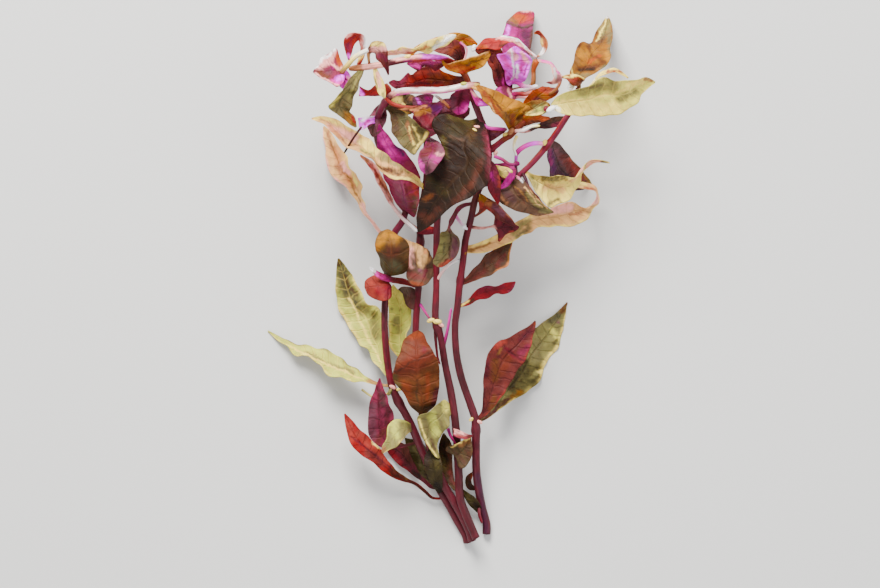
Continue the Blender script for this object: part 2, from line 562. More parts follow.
leaf("leaf_red_small_right", stem="stem_right", tone="red",
     heights=(31, 33, 34), lifts=(0, -3, -4, 0), trough=0.08,
     left=((0.4, -14.6), (4, -11), (7.4, -6.6), (12, -5), (18, -4.6), (22, -3.2), (26.8, -2.4)),
     right=((0.8, -16), (4.6, -14), (9, -11.4), (14, -10.6), (18, -8.6), (24.4, -8), (27.2, -3)),
     base="red", strokes=(
         ("crimson", 1.5, (9, -7.4), (20, -5)),
         ("rose", 0.8, (8, -6), (15, -4.8)),
         ("brown", 1.0, (3.6, -13), (5.4, -12)),
         ("cream", 0.5, (0, -14.4), (3, -12.6)),
         ("rose", 0.8, (24, -7.4), (26.8, -3.6))))

# Leaves of the stems' middle
leaf("leaf_brown_mid_right", stem="stem_right", tone="brown",
     heights=(37, 38, 36, 32, 28), lifts=(0, 3, 5, 3, 0), trough=0.1,
     left=((0, -3), (3, 0.4), (6.4, 4.2), (10, 8), (12.4, 11), (17, 14.4), (22, 19), (26.6, 24)),
     right=((0.6, -5), (4, -3.2), (10, -1), (15, 1), (20, 4), (23.6, 6.4), (24.4, 12), (25.8, 18),
            (27.6, 23.4)),
     base="cocoa", rims=(None, "peach"), strokes=(
         ("redwood", 2.6, (1, -3), (10, 3)),
         ("brown", 2.2, (10, 6), (17, 12)),
         ("grey", 1.5, (20, 16.4), (24, 20)),
         ("tan", 0.5, (23.4, 8), (24.2, 13)),
         ("brown", 0.6, (2, -2), (12, 6), (20, 14), (24, 21)),
         ("redwood", 1.6, (18, 6), (21, 11))))
leaf("leaf_grey_green", stem="stem_right", tone="olive",
     heights=(45, 43, 41, 38, 35), lifts=(0, -1, -4, -2, 0), trough=0.1,
     left=((4.6, 36.4), (-0.6, 33), (-4, 27.2), (-6.2, 22.4), (-2.6, 20.6), (-0.8, 17), (-1, 13),
           (-3, 9.6), (-6, 7), (-9.6, 4.6), (-12.4, 5)),
     right=((4, 37.8), (-2.4, 34.8), (-5.8, 27.8), (-7.8, 22.8), (-10, 22.4), (-10.8, 19), (-12, 13),
            (-14.4, 7.6), (-13.4, 5.8)),
     base="drab", strokes=(
         ("rose", 3.0, (4.4, 37), (-3, 32), (-7, 25.6)),
         ("mauve", 2.4, (-3.4, 18.6), (-3, 13), (-5, 9.4)),
         ("salmon", 1.4, (-6, 8), (-10.4, 5.6)),
         ("khaki", 1.8, (-9.4, 20), (-9.8, 12)),
         ("grey", 0.5, (-8.4, 17), (-9, 11)),
         ("brown", 0.4, (-6.6, 22), (-6, 12), (-9.6, 6))))
leaf("leaf_mustard_dome", stem="stem_left", tone="mustard",
     heights=(28, 34, 36, 32, 25), lifts=(0, 2, 2, 0), trough=-0.25,
     left=((-37.8, 1.8), (-40, 4), (-41.4, 9), (-43, 14), (-43.2, 18), (-41.6, 21), (-38, 23)),
     right=((-34.6, 1.6), (-29.4, 1.4), (-26.6, 4), (-26.2, 10), (-26.4, 16), (-30, 19.4), (-33, 21.8),
            (-37, 23.4)),
     base="hazel", strokes=(
         ("olive", 2.6, (-39, 8), (-36, 5), (-31, 4)),
         ("grey", 2.0, (-34, 9), (-31, 6)),
         ("brown", 2.2, (-36, 12.8), (-32, 13.4)),
         ("gold", 3.0, (-40, 17.6), (-37, 19.8), (-33.6, 18.4)),
         ("mustard", 1.8, (-42, 14.4))))
leaf("leaf_pink_brown_mid", stem="stem_centre", tone="brown",
     heights=(30, 29, 26, 24), lifts=(0, -3, -4, -2, 0), trough=0.08,
     left=((-15, 2), (-15.6, -1), (-17.4, -4), (-21, -4.8), (-25, -4.2), (-27.6, -0.4), (-27.2, 6),
           (-27.4, 12), (-29.6, 18.6)),
     right=((-15, 8), (-16, 12.6), (-20, 15.4), (-24.6, 17.4), (-29.4, 19.4)),
     base="cocoa", strokes=(
         ("sand", 2.6, (-28, 17.6), (-22, 14), (-18.6, 9)),
         ("blush", 1.9, (-25.6, 7), (-25.4, 13)),
         ("sand", 1.2, (-21.6, 9), (-20, 5)),
         ("cocoa", 1.0, (-23.6, 12), (-22.2, 8.6)),
         ("grey", 0.9, (-25, 9.6), (-24, 6.6)),
         ("peach", 1.2, (-18.6, 12.2)),
         ("mauve", 1.4, (-20.4, 3)),
         ("redwood", 1.6, (-25.6, 1), (-19, -1)),
         ("rust", 1.0, (-25, -3.2), (-19.6, -4)),
         ("wine", 0.9, (-17, 3), (-18, 0))))
leaf("leaf_magenta_spike", stem="stem_mid_left", tone="pink",
     heights=(20, 26, 31, 32), lifts=(0, -2, -3, -1, 0), trough=0.1,
     left=((-23.6, -6), (-27, -4.4), (-31, -3.6), (-36, -3), (-40, -1.6), (-43.6, 1), (-46, 4.2)),
     right=((-23.2, -4.4), (-27, -2), (-30, -0.6), (-36, 0.2), (-41, 2.4), (-46, 5)),
     base="rose", strokes=(
         ("salmon", 2.6, (-32, -2), (-24, -4.6)),
         ("magenta", 1.2, (-37, -1.6)),
         ("hotpink", 1.2, (-39.4, -0.6)),
         ("pink", 1.3, (-42, 1)),
         ("white", 0.9, (-46, 4.6), (-43.6, 2.6))))
leaf("leaf_peach_long_right", stem="stem_right", tone="peach",
     heights=(37, 36, 34, 32, 26, 20, 18), lifts=(0, -3, -5, -6, -5, -6, -6, 0), trough=0.08,
     left=((4, 15), (10, 17.6), (17, 20.6), (28, 27), (34, 31), (45, 34), (53, 37.4), (57, 37),
           (60.4, 34.6), (64, 34.4), (66.4, 36.6), (67.8, 39.4), (67.6, 41.8), (66, 43.4), (61, 44.2),
           (57.4, 44.8)),
     right=((4.4, 11.4), (12, 12), (19, 14.6), (27, 18.2), (34, 22), (39, 24.6), (46, 25.2), (56, 25.2),
            (61.6, 28), (66, 33.4), (68.4, 37), (69.6, 40.4), (69, 43.4), (66, 46), (61, 47.6),
            (57.4, 46.8)),
     base="sand", rims=(None, "cream"), strokes=(
         ("tan", 0.8, (3, 13), (7, 13.6), (14, 16.6)),
         ("cream", 1.4, (6, 15.8), (17, 20.2)),
         ("khaki", 2.0, (27, 21), (30, 26), (34, 27)),
         ("drab", 1.0, (28, 19.6), (34, 24)),
         ("cream", 1.0, (28, 29), (35, 29.8)),
         ("blush", 2.2, (42, 32.4), (54, 34.2)),
         ("sand", 1.2, (42, 29.4), (50, 29.8)),
         ("skin", 0.8, (55, 30.4), (60, 31.8)),
         ("blush", 1.0, (66.4, 36.6), (68.4, 39.6)),
         ("salmon", 0.9, (62, 45.4), (67, 43.6)),
         ("cream", 1.0, (57.4, 46), (62, 46.8))))
leaf("leaf_maroon_fold", stem="stem_right", tone="maroon",
     heights=(43, 44, 44, 42), lifts=(0, 0, -4, -3, 0), trough=0.05,
     left=((6.6, 25.2), (10, 24.9), (16, 26), (16.2, 30.2), (20, 29.7), (25, 27.6), (28.6, 25.2)),
     right=((6.8, 23.2), (10, 23.3), (16.8, 24.2), (18.5, 17.4), (22, 20.5), (26.8, 22.6), (28.8, 24.4)),
     base="wine", rims=("sand", None), strokes=(
         ("blush", 1.1, (6.6, 23.8), (12, 24), (16, 24.8)),
         ("crimson", 1.5, (18, 29.4), (19, 27)),
         ("maroon", 2.0, (24.6, 24.2)),
         ("salmon", 0.6, (19, 18.4), (26, 22.6))))

# Leaves of the crown's middle
leaf("leaf_big_brown", stem="stem_right", tone="brown",
     heights=(62, 68, 70, 68, 63, 55, 46), lifts=(0, -6, -14, -14, -10, -3, 0), trough=0.1,
     left=((10.4, 78), (12.6, 73), (14, 66), (14.8, 58), (14, 50), (12, 45), (8, 42), (2, 38), (-5, 35),
           (-11, 29), (-16, 25), (-21.4, 22)),
     right=((8.6, 79.4), (3, 78), (-4, 80), (-11, 81), (-14.6, 77), (-13.9, 72.5), (-10, 66.4),
            (-12.2, 61.4), (-15.4, 57), (-18, 47), (-20.6, 39), (-22.2, 32), (-22.2, 23)),
     base="umber", strokes=(
         ("hazel", 2.6, (5, 75), (6, 68)),
         ("moss", 4.0, (3, 77), (-5, 73)),
         ("bark", 4.0, (8, 66), (4, 52), (-2, 42)),
         ("moss", 2.4, (-16, 48), (-9, 41)),
         ("brown", 2.0, (9, 58), (4, 46), (-4, 36)),
         ("cocoa", 0.8, (-6, 71), (0, 69)),
         ("wine", 1.7, (12.4, 73), (14, 62), (13, 50)),
         ("rose", 0.6, (13.4, 70), (14.4, 60)),
         ("wood", 1.4, (-18.6, 38), (-15.6, 40)),
         ("brown", 1.8, (-20, 31), (-18, 27), (-12, 33)),
         ("olive", 1.3, (0.4, 79), (5, 77)),
         ("olive", 1.2, (-6, 80), (-1, 79)),
         ("olive", 1.0, (-10, 70), (-8, 60))))
leaf("leaf_brown_creased", stem="stem_right_branch", tone="brown",
     heights=(50, 51, 50, 48), lifts=(0, -3, -5, -3, 0), trough=0.08,
     left=((29, 51.4), (30.4, 48.6), (33.4, 45.6), (37, 41.4), (42, 35.6), (46.2, 32.2)),
     right=((27, 51), (23, 49.4), (18.2, 46.4), (17.2, 42), (19.4, 36.6), (25, 34), (31, 31.6),
            (38, 30.4), (45.6, 31.6)),
     base="cocoa", strokes=(
         ("khaki", 1.7, (33, 41), (39, 35.6), (44, 33)),
         ("plumgrey", 2.0, (20, 44), (25, 38.6)),
         ("skin", 0.9, (19.4, 40), (22.6, 37)),
         ("redwood", 0.9, (31, 49.4), (34.6, 44), (38.6, 39.6)),
         ("cocoa", 1.4, (28, 43), (33, 37.6)),
         ("white", 0.45, (28.4, 50), (30.2, 47.4)),
         ("tan", 0.35, (26, 46.6), (33, 37.6)),
         ("sand", 0.3, (31, 44.4), (40, 34.4)),
         ("sand", 0.3, (34.6, 42.4), (43, 33.6)),
         ("brown", 0.4, (24, 48), (31.6, 36)),
         ("drab", 1.0, (39, 33), (45, 31.6))))
leaf("leaf_maroon_mid", stem="stem_right", tone="magenta",
     heights=(54, 55, 54, 51), lifts=(0, 1, 2, 1, 0), trough=0.08,
     left=((14.8, 58.2), (16.6, 56.4), (18.6, 52), (19.4, 46.8), (19.6, 41.6), (18.8, 36.4)),
     right=((13.2, 58), (12.2, 54.6), (12.4, 50), (13, 46), (13.6, 42.6), (16, 38.6), (18, 35.8)),
     base="wine", strokes=(
         ("rose", 1.8, (15, 54), (16.6, 46)),
         ("crimson", 1.6, (14, 46), (16.6, 40)),
         ("hotpink", 0.6, (15, 52), (15.6, 48)),
         ("salmon", 0.8, (18.6, 50), (18.8, 45)),
         ("red", 1.0, (17, 40), (18, 37))))
leaf("leaf_cup_right", stem="stem_right_branch", tone="cream",
     heights=(48, 46, 44, 43, 44, 44), lifts=(0, -6, -7, -4, 0), trough=0.22,
     left=((33.4, 51.2), (36.6, 50.8), (41, 50.2), (46, 50), (52, 50), (56.4, 49), (58.6, 50.4),
           (61, 54.8), (64.4, 57.5), (68.4, 58.4), (74, 57.2)),
     right=((33.8, 49.6), (36, 44), (38.6, 40), (41.4, 36.8), (45, 34.4), (50, 36.4), (54, 39), (57, 43),
            (58.6, 47), (60, 50.8), (62, 53.6), (64.8, 56), (68.4, 57), (74, 56.4)),
     base="cream", rims=("khaki", None), strokes=(
         ("khaki", 1.5, (34.6, 49.4), (36.6, 44)),
         ("olive", 1.0, (40.6, 49.6), (46, 48.8), (51.6, 49.6)),
         ("drab", 1.2, (40, 48), (46, 47), (52, 48)),
         ("sand", 2.0, (42, 43.6), (50.6, 42)),
         ("cream", 1.2, (44, 41), (50, 39.6)),
         ("grey", 0.9, (43.6, 36.4), (49, 37.4)),
         ("sand", 1.0, (55, 47), (58, 50)),
         ("blush", 0.8, (60, 52), (64, 56.6), (70, 57.6)),
         ("grey", 0.6, (70, 57.6), (74, 56.2))))
leaf("leaf_purple_right", stem="stem_right_branch", tone="maroon",
     heights=(34, 22, 12, 5, 0.4), lifts=(0, 2, 4, 2, 0), trough=0.08,
     left=((46.4, 67.4), (49, 66.4), (52, 63), (56, 58.4), (60, 54.2), (63.6, 50), (65.8, 46.6)),
     right=((44.6, 65), (42.8, 60.4), (44.4, 55), (44, 50), (48, 45.4), (54, 43.2), (60, 43.4),
            (65.4, 46)),
     base="plumgrey", strokes=(
         ("purple", 2.4, (45, 61), (46.4, 53)),
         ("magenta", 0.9, (44.6, 63), (45.4, 56)),
         ("mauve", 1.4, (48, 63), (51, 57)),
         ("salmon", 2.2, (54, 58), (60, 50)),
         ("redwood", 1.6, (51, 60), (56, 52)),
         ("tan", 1.0, (55, 61), (60.6, 54), (64, 48)),
         ("plum", 1.2, (49, 52), (54, 50)),
         ("khaki", 0.6, (56, 61.6), (62, 54), (65.4, 47))))
leaf("leaf_peach_far_left", stem="stem_left", tone="peach",
     heights=(23, 23, 20, 16, 10, 4, 0.4), lifts=(0, 3, 6, 7, 5, 2, 0), trough=0.1,
     left=((-37.4, 15), (-41, 21), (-48.4, 31), (-51.4, 35), (-54.6, 41), (-59, 45.6), (-65, 50.6),
           (-67, 54), (-68, 59), (-68.6, 65), (-69.6, 70), (-69.6, 75.4)),
     right=((-36.6, 16.4), (-39.8, 22), (-47.4, 31.8), (-48.6, 35.6), (-50, 41), (-50.6, 46), (-52.4, 51),
            (-56, 54), (-57.4, 60), (-61, 65), (-64, 70), (-66.6, 74), (-69, 75.8)),
     base="sand", rims=("blush", "cream"), strokes=(
         ("peach", 1.8, (-64, 64), (-61, 54), (-55, 46)),
         ("skin", 1.2, (-67, 72), (-65.4, 64)),
         ("tan", 0.4, (-66, 68), (-63, 59), (-58, 50), (-51, 38)),
         ("blush", 1.2, (-60.4, 57), (-57.6, 52)),
         ("skin", 1.0, (-62.8, 56), (-60.6, 51)),
         ("bone", 1.0, (-55, 51), (-52.6, 46)),
         ("blush", 1.2, (-50, 36), (-42, 23), (-37, 15))))
leaf("leaf_peach_crossing", stem="stem_mid_left", tone="peach",
     heights=(48, 52, 52, 50, 46, 41, 36), lifts=(0, -5, -9, -9, -6, -3, 0), trough=0.2,
     left=((-19.6, 43.4), (-24, 47), (-29, 48.4), (-34.4, 48.6), (-38, 50.6), (-42, 54.6), (-45.6, 58.8),
           (-50, 61.8), (-56, 63.4), (-60, 67), (-64, 71), (-68.6, 76), (-72, 77.4), (-75, 78.7)),
     right=((-19.6, 45.6), (-22, 50), (-27, 53), (-31, 55.6), (-35, 58.4), (-40, 62.8), (-45, 67),
            (-49.4, 70.8), (-54, 73.2), (-60, 77), (-65, 79.5), (-70, 80.3), (-75, 79.4)),
     base="sand", strokes=(
         ("blush", 1.8, (-66, 75), (-58, 72), (-52, 69)),
         ("peach", 1.2, (-61, 70), (-66, 75.4)),
         ("skin", 0.8, (-57.6, 67), (-59.6, 69.4)),
         ("khaki", 1.5, (-49, 64.6), (-43, 61.6)),
         ("cream", 1.8, (-50, 68.6), (-42, 63.4)),
         ("khaki", 1.1, (-40, 61.2), (-33, 56.4), (-27, 52.8)),
         ("cocoa", 1.3, (-45.6, 58.6), (-38, 54.6), (-30, 52.2)),
         ("brown", 0.6, (-42, 57), (-34, 53)),
         ("cream", 1.2, (-37, 50.4), (-30, 49.4), (-22, 48.6), (-18.6, 44.6)),
         ("cream", 0.8, (-74, 79), (-68, 79.8), (-58, 75.6), (-50, 71))))
leaf("leaf_hot_pink_left", stem="stem_left", tone="pink",
     heights=(34, 31, 29.6, 32, 36, 42), lifts=(0, -2, -7, -1, 3, 1, 0), trough=0.1,
     left=((-30, 33), (-33, 37), (-35, 41), (-36.6, 45), (-38.6, 49), (-39.8, 54), (-41, 61), (-42.2, 67),
           (-42.2, 72), (-41.4, 76)),
     right=((-27, 32), (-23.6, 29.6), (-22, 34), (-21, 40), (-20.8, 46), (-21, 51), (-24, 57), (-28, 62),
            (-33, 66.4), (-38, 72), (-40.8, 76)),
     base="rose", strokes=(
         ("hotpink", 4.8, (-43, 74), (-37, 65), (-32, 60)),
         ("magenta", 1.2, (-44.4, 76), (-42, 68), (-37, 60)),
         ("pink", 2.0, (-40, 71), (-37, 66), (-34.4, 61)),
         ("purple", 1.0, (-33, 66.6), (-29.6, 61)),
         ("mauve", 2.6, (-34, 52), (-30, 42), (-28, 36)),
         ("rose", 1.4, (-27, 57), (-23.6, 52)),
         ("salmon", 1.6, (-23.4, 49), (-22.4, 42)),
         ("redwood", 2.0, (-26, 44), (-24, 34)),
         ("cocoa", 1.2, (-23, 40), (-23.4, 32)),
         ("wine", 0.45, (-28.4, 47), (-24, 36))))
leaf("leaf_orange_narrow_left", stem="stem_mid_left", tone="orange",
     heights=(18, 19, 22, 24, 25, 26), lifts=(0, 0, -2, -3, -2, 0), trough=0.08,
     left=((-22.8, 22.6), (-27.6, 27.2), (-34.4, 34.6), (-38.4, 40), (-42, 47), (-44.4, 52),
           (-47.6, 56.8), (-51, 60.2)),
     right=((-22.2, 24), (-26.4, 28.4), (-33.2, 35.6), (-35, 40), (-37, 44.4), (-39, 48.4), (-41, 52.6),
            (-44.6, 57.6), (-50.6, 61.2)),
     base="blush", strokes=(
         ("peach", 1.4, (-36, 42), (-41, 50)),
         ("coral", 1.2, (-42, 50), (-46, 56)),
         ("peach", 1.2, (-47, 58), (-50, 60.4)),
         ("salmon", 0.4, (-37, 42.6), (-43.6, 53.6)),
         ("white", 1.2, (-34, 36), (-28, 28), (-23, 23))))
leaf("leaf_olive_crown", stem="stem_left", tone="cream",
     heights=(48, 51, 52, 50, 48), lifts=(0, -5, -8, -5, 0), trough=0.1,
     left=((-37, 85), (-31, 83.4), (-27, 80.6), (-23, 77.8), (-20.6, 74.4), (-16, 72), (-17.4, 68.6),
           (-20, 65.4), (-23, 61)),
     right=((-37.6, 84), (-35.6, 80.6), (-35.2, 75), (-33, 69), (-29.6, 65.4), (-26, 61.8),
            (-23.8, 60.6)),
     base="drab", strokes=(
         ("cocoa", 2.6, (-34.6, 81), (-32.6, 72)),
         ("grey", 2.0, (-31, 82), (-28, 74)),
         ("skin", 1.2, (-28, 76), (-25, 68)),
         ("cream", 0.5, (-25, 76), (-21.4, 68)),
         ("cream", 0.35, (-27, 75), (-24, 65)),
         ("olive", 1.3, (-22, 76), (-20, 71)),
         ("cream", 0.8, (-16.6, 72), (-20, 67.4), (-23.4, 62.6)),
         ("hazel", 1.3, (-36, 83), (-30, 82))))
leaf("leaf_pink_mauve", stem="stem_mid_left", tone="pink",
     heights=(61, 69, 73, 72, 68), lifts=(0, 0, 3, 1, 0), trough=0.1,
     left=((-14.6, 70.2), (-12.8, 68.4), (-11, 67), (-9, 64.6), (-8.4, 61), (-10.6, 57), (-13.6, 53),
           (-17.4, 50.6)),
     right=((-16, 69.8), (-18.4, 66), (-21.6, 60), (-21.2, 54.6), (-18.6, 51)),
     base="mauve", rims=(None, "pink"), strokes=(
         ("wine", 2.2, (-19, 66), (-13.6, 65)),
         ("redwood", 2.0, (-20, 61), (-15.6, 63)),
         ("hotpink", 1.3, (-14.6, 60.6), (-11, 59), (-13, 57)),
         ("blush", 0.8, (-12, 61.4), (-9, 61)),
         ("pink", 1.0, (-20.6, 57), (-19.4, 52.4)),
         ("plumgrey", 1.2, (-17, 56), (-16, 52))))
leaf("leaf_crimson_crown", stem="stem_left", tone="red",
     heights=(52, 55, 59, 61, 60), lifts=(0, -1, -2, -4, -2, 0), trough=0.06,
     left=((-36.6, 86.6), (-31, 84.6), (-25, 84.2), (-20, 85.6), (-13, 86.8), (-8.4, 86), (-10.6, 82.6),
           (-12.8, 79.4), (-12, 76.4)),
     right=((-36.4, 85.4), (-31, 83.2), (-26, 82.6), (-23.6, 80.4), (-20.8, 76.6), (-18, 74.2),
            (-14.6, 73.6), (-12.8, 75.2)),
     base="wine", strokes=(
         ("purple", 2.0, (-11.6, 84), (-16, 83.4)),
         ("crimson", 1.8, (-18.6, 79), (-14, 76.4)),
         ("mustard", 1.4, (-22, 81.6), (-16.6, 82.6)),
         ("peach", 0.8, (-36, 85.8), (-30, 83.8), (-24, 83.2), (-18, 84.8)),
         ("peach", 0.9, (-11.8, 77), (-13.6, 74.4))))

# Leaves of the crown's top and right
leaf("leaf_mustard_crown", stem="stem_inner_branch", tone="mustard",
     heights=(65, 68, 69, 66), lifts=(0, -6, -9, -5, 0), trough=0.1,
     left=((23.4, 72.6), (21.2, 77), (17.4, 80.8), (13.8, 84.2), (10.8, 88), (8.4, 91.8), (7, 94.8)),
     right=((26, 73), (26.4, 76.4), (27.2, 79.6), (28.8, 82), (31.8, 85.2), (26, 88.4), (20, 91),
            (14, 93.8), (8.4, 95.4)),
     base="mustard", rims=(None, "gold"), strokes=(
         ("gold", 2.6, (19, 88), (27, 84.6)),
         ("gold", 1.2, (11.6, 93.4), (16, 89.6)),
         ("sand", 0.5, (14, 86), (17, 81), (20, 77)),
         ("rust", 1.3, (11, 92), (16, 85.6), (20, 80)),
         ("wood", 0.5, (14, 91), (20, 84.6), (24, 77)),
         ("brown", 0.5, (18.6, 86), (22.6, 80), (25, 76)),
         ("tan", 0.9, (21, 82), (23.4, 77)),
         ("rust", 1.4, (25.6, 79), (25.8, 74))))
leaf("leaf_orange_brown", stem="stem_inner_branch", tone="orange",
     heights=(57, 57.6, 57), lifts=(0, -2, -2, 0), trough=0.1,
     left=((29.4, 77.6), (30.6, 79.4), (33, 80.2), (38, 80.2), (44, 79.6)),
     right=((29.8, 75.8), (31.4, 75.2), (36, 76.2), (40.4, 77), (44.2, 78.6)),
     base="rust", strokes=(
         ("orange", 1.1, (32, 78.6), (41, 79)),
         ("brown", 1.0, (31, 76.4), (39, 77.2)),
         ("gold", 0.6, (30.6, 79.4), (35, 80))))
leaf("leaf_orange_right", stem="stem_inner_branch", tone="orange",
     heights=(50, 49, 48, 46), lifts=(0, -3, -6, -4, 0), trough=0.1,
     left=((30.4, 79.4), (30.4, 84), (31.8, 87.8), (34, 91.6), (37.4, 94), (40.6, 95)),
     right=((31.6, 79), (34, 82.4), (38, 84.4), (42, 87), (46, 89.6), (48.4, 92.4), (47, 94.4),
            (43, 94.8)),
     base="orange", strokes=(
         ("plum", 1.9, (36.6, 87.4), (42, 87.4)),
         ("brown", 1.4, (32, 82), (35, 86)),
         ("mustard", 1.3, (40, 90), (42.6, 89.6)),
         ("salmon", 1.6, (41, 93), (45, 92.4)),
         ("mauve", 1.0, (47.8, 92.6), (46, 94))))
leaf("leaf_pale_big_right", stem="stem_inner_branch", tone="pale",
     heights=(59, 61, 62, 60, 55, 48, 42), lifts=(0, -6, -9, -10, -9, -5, 0), trough=0.1,
     left=((44.8, 86), (47, 89.2), (50, 91), (55, 92.8), (61, 93.8), (64.6, 95.6), (67, 98.2), (72, 99),
           (76, 97.6), (82, 97.6), (88, 98.5), (92.6, 99.6), (97, 97.4)),
     right=((45.2, 84), (48, 82), (53, 80.5), (60, 80), (70, 80), (77, 80.4), (82, 82.6), (87, 86),
            (90, 90), (92.4, 93.4), (96.6, 96.6)),
     base="bone", rims=("khaki", "cream"), strokes=(
         ("cream", 3.0, (50, 84.4), (66, 82.6), (78, 84)),
         ("khaki", 3.4, (60, 92), (68, 94), (76, 94)),
         ("khaki", 1.8, (80, 88), (87, 92)),
         ("drab", 1.2, (64, 93.6), (70, 95.4)),
         ("cream", 0.6, (46, 86.4), (60, 87.4), (76, 90), (92, 97)),
         ("cream", 1.6, (84, 95), (90, 97.4)),
         ("skin", 0.7, (92, 98.6), (95.6, 98)),
         ("white", 0.9, (44.6, 85), (48.4, 83))))
leaf("leaf_mustard_top_right", stem="stem_right_branch", tone="mustard",
     heights=(44, 38, 30, 20, 9, 0.4), lifts=(0, -3, -5, -2, 2, 0), trough=0.12,
     left=((57.6, 96.6), (55, 99), (54, 102), (55.6, 106.4), (57, 112), (58.4, 116), (61, 117.2),
           (65, 117.6), (66.4, 120.4), (68.6, 124.4), (71.4, 128.8), (73.3, 131)),
     right=((59.6, 96.6), (61.4, 98.6), (65.4, 101), (70, 103.6), (73.2, 106.4), (74.8, 110.4),
            (74.8, 115), (76, 120), (76, 124.6), (75, 129), (73.9, 131)),
     base="mustard", rims=("wood", "drab"), strokes=(
         ("gold", 2.2, (60, 112), (66, 113.6)),
         ("gold", 1.4, (73, 113), (73.8, 107)),
         ("orange", 1.2, (65, 108.6), (69, 111)),
         ("wood", 0.8, (64, 116.4), (67, 111.6), (72, 107.4)),
         ("tan", 1.6, (58, 108), (57, 104.6)),
         ("cocoa", 1.8, (69.6, 119), (72, 122)),
         ("khaki", 2.6, (71, 124), (73.4, 128)),
         ("drab", 1.2, (74.6, 124), (74.8, 118)),
         ("white", 0.7, (73.4, 130.6)),
         ("cream", 0.5, (68, 119), (71, 125), (72.6, 129.6)),
         ("brown", 1.6, (59.6, 104.6), (69, 105.8)),
         ("umber", 1.0, (60, 103.6), (67, 104.6)),
         ("drab", 1.6, (58, 100.4), (63, 101)),
         ("cream", 0.6, (54.8, 104), (56.6, 99))))
leaf("leaf_lilac_top", stem="stem_inner_shoot", tone="pink",
     heights=(56, 62, 65, 65), lifts=(0, -2, -4, -3, 0), trough=0.1,
     left=((23, 96.4), (21.8, 99), (21.2, 102.6), (19.6, 106.2), (17.6, 109.8), (21.6, 111.4),
           (25.6, 114.4)),
     right=((24.8, 96.2), (28.4, 96), (31.6, 97.6), (33, 101), (34.4, 105), (35, 108.6), (31, 111.8),
            (27.2, 114.6)),
     base="lilac", rims=("pink", None), strokes=(
         ("hotpink", 1.5, (31.6, 108), (29.6, 103)),
         ("pink", 1.8, (20, 109), (24, 104)),
         ("blush", 1.6, (24, 112), (27, 108)),
         ("magenta", 0.4, (33.6, 107), (31, 101)),
         ("hotpink", 1.0, (24.6, 97), (23, 99.4)),
         ("blush", 1.2, (30, 111), (33, 107)),
         ("white", 0.8, (28, 104), (27.4, 99)),
         ("white", 0.45, (24, 113.6), (26.4, 106), (25.6, 100), (24.4, 96))))
leaf("leaf_maroon_top", stem="stem_inner_shoot", tone="maroon",
     heights=(46, 47, 46, 43), lifts=(0, 1, 2, 1, 0), trough=0.1,
     left=((21, 93.2), (17.6, 94.6), (15.9, 98), (15, 103), (13.2, 106.2), (12.8, 110)),
     right=((21.4, 95), (21, 98.4), (20.4, 101.4), (18.8, 105.6), (16.8, 109.6), (14, 110.8)),
     base="redwood", strokes=(
         ("rose", 1.6, (18, 98), (20.4, 94.4)),
         ("salmon", 1.6, (15, 105), (14, 109.4)),
         ("maroon", 1.0, (17.4, 103), (18.6, 99)),
         ("pink", 0.5, (20.6, 99), (21, 95))))
leaf("leaf_tall_top", stem="stem_inner_shoot", tone="magenta",
     heights=(38, 36, 33, 26, 16, 6, 0.4), lifts=(0, 2, 4, 4, 2, 0), trough=0.1,
     left=((23, 97), (22.6, 104), (20.6, 112), (19.8, 119), (22, 125), (22.8, 129), (25.4, 131),
           (28.4, 133), (31, 133.9)),
     right=((24.4, 97), (29, 103), (33, 109), (34.6, 114), (35.6, 120), (36, 126), (36.7, 130),
            (36.6, 133), (33, 133.9)),
     base="magenta", rims=(None, "cocoa"), strokes=(
         ("plum", 2.8, (33, 114), (32, 122)),
         ("magenta", 1.8, (30, 116), (28, 122)),
         ("hotpink", 1.6, (25, 119), (26, 124)),
         ("lilac", 0.9, (22.6, 122), (24, 126)),
         ("coral", 3.0, (28.6, 131), (33.6, 130.6)),
         ("orange", 1.8, (26.6, 130), (31, 131)),
         ("tan", 1.2, (24.6, 129.6), (28, 128.6)),
         ("cocoa", 0.9, (23, 128), (27, 126.6), (31, 125.6), (36, 126.2)),
         ("umber", 0.5, (28, 125.6), (36, 125.4)),
         ("brown", 1.2, (35, 113), (35.4, 122)),
         ("blush", 0.6, (27, 133), (31, 134), (36.4, 133.4))))
leaf("leaf_red_arched_top", stem="stem_top_twig", tone="red",
     heights=(57, 60, 61, 60, 60), lifts=(0, -2, -5, -6, -3, 0), trough=-0.08,
     left=((35.6, 109.4), (31.6, 113.2), (28.4, 115.4), (25.4, 116.4), (22, 115), (17.6, 113),
           (12, 113.4), (7.6, 113)),
     right=((36.6, 110.4), (33.2, 113.8), (30, 116.6), (26.8, 119.4), (22, 119.8), (17.4, 119.2),
            (12.4, 118.8), (9.4, 116.6), (7, 113.8)),
     base="coral", strokes=(
         ("scarlet", 1.8, (12, 116), (18, 116)),
         ("orange", 1.0, (8.6, 114.6), (12, 114)),
         ("brown", 1.2, (20.6, 114.6), (24.6, 115)),
         ("blush", 1.0, (18, 119), (26, 117.8), (31, 113.8), (36.4, 109.6)),
         ("white", 0.5, (20, 119.8), (27, 118.6), (31.4, 114.8), (37, 110))))
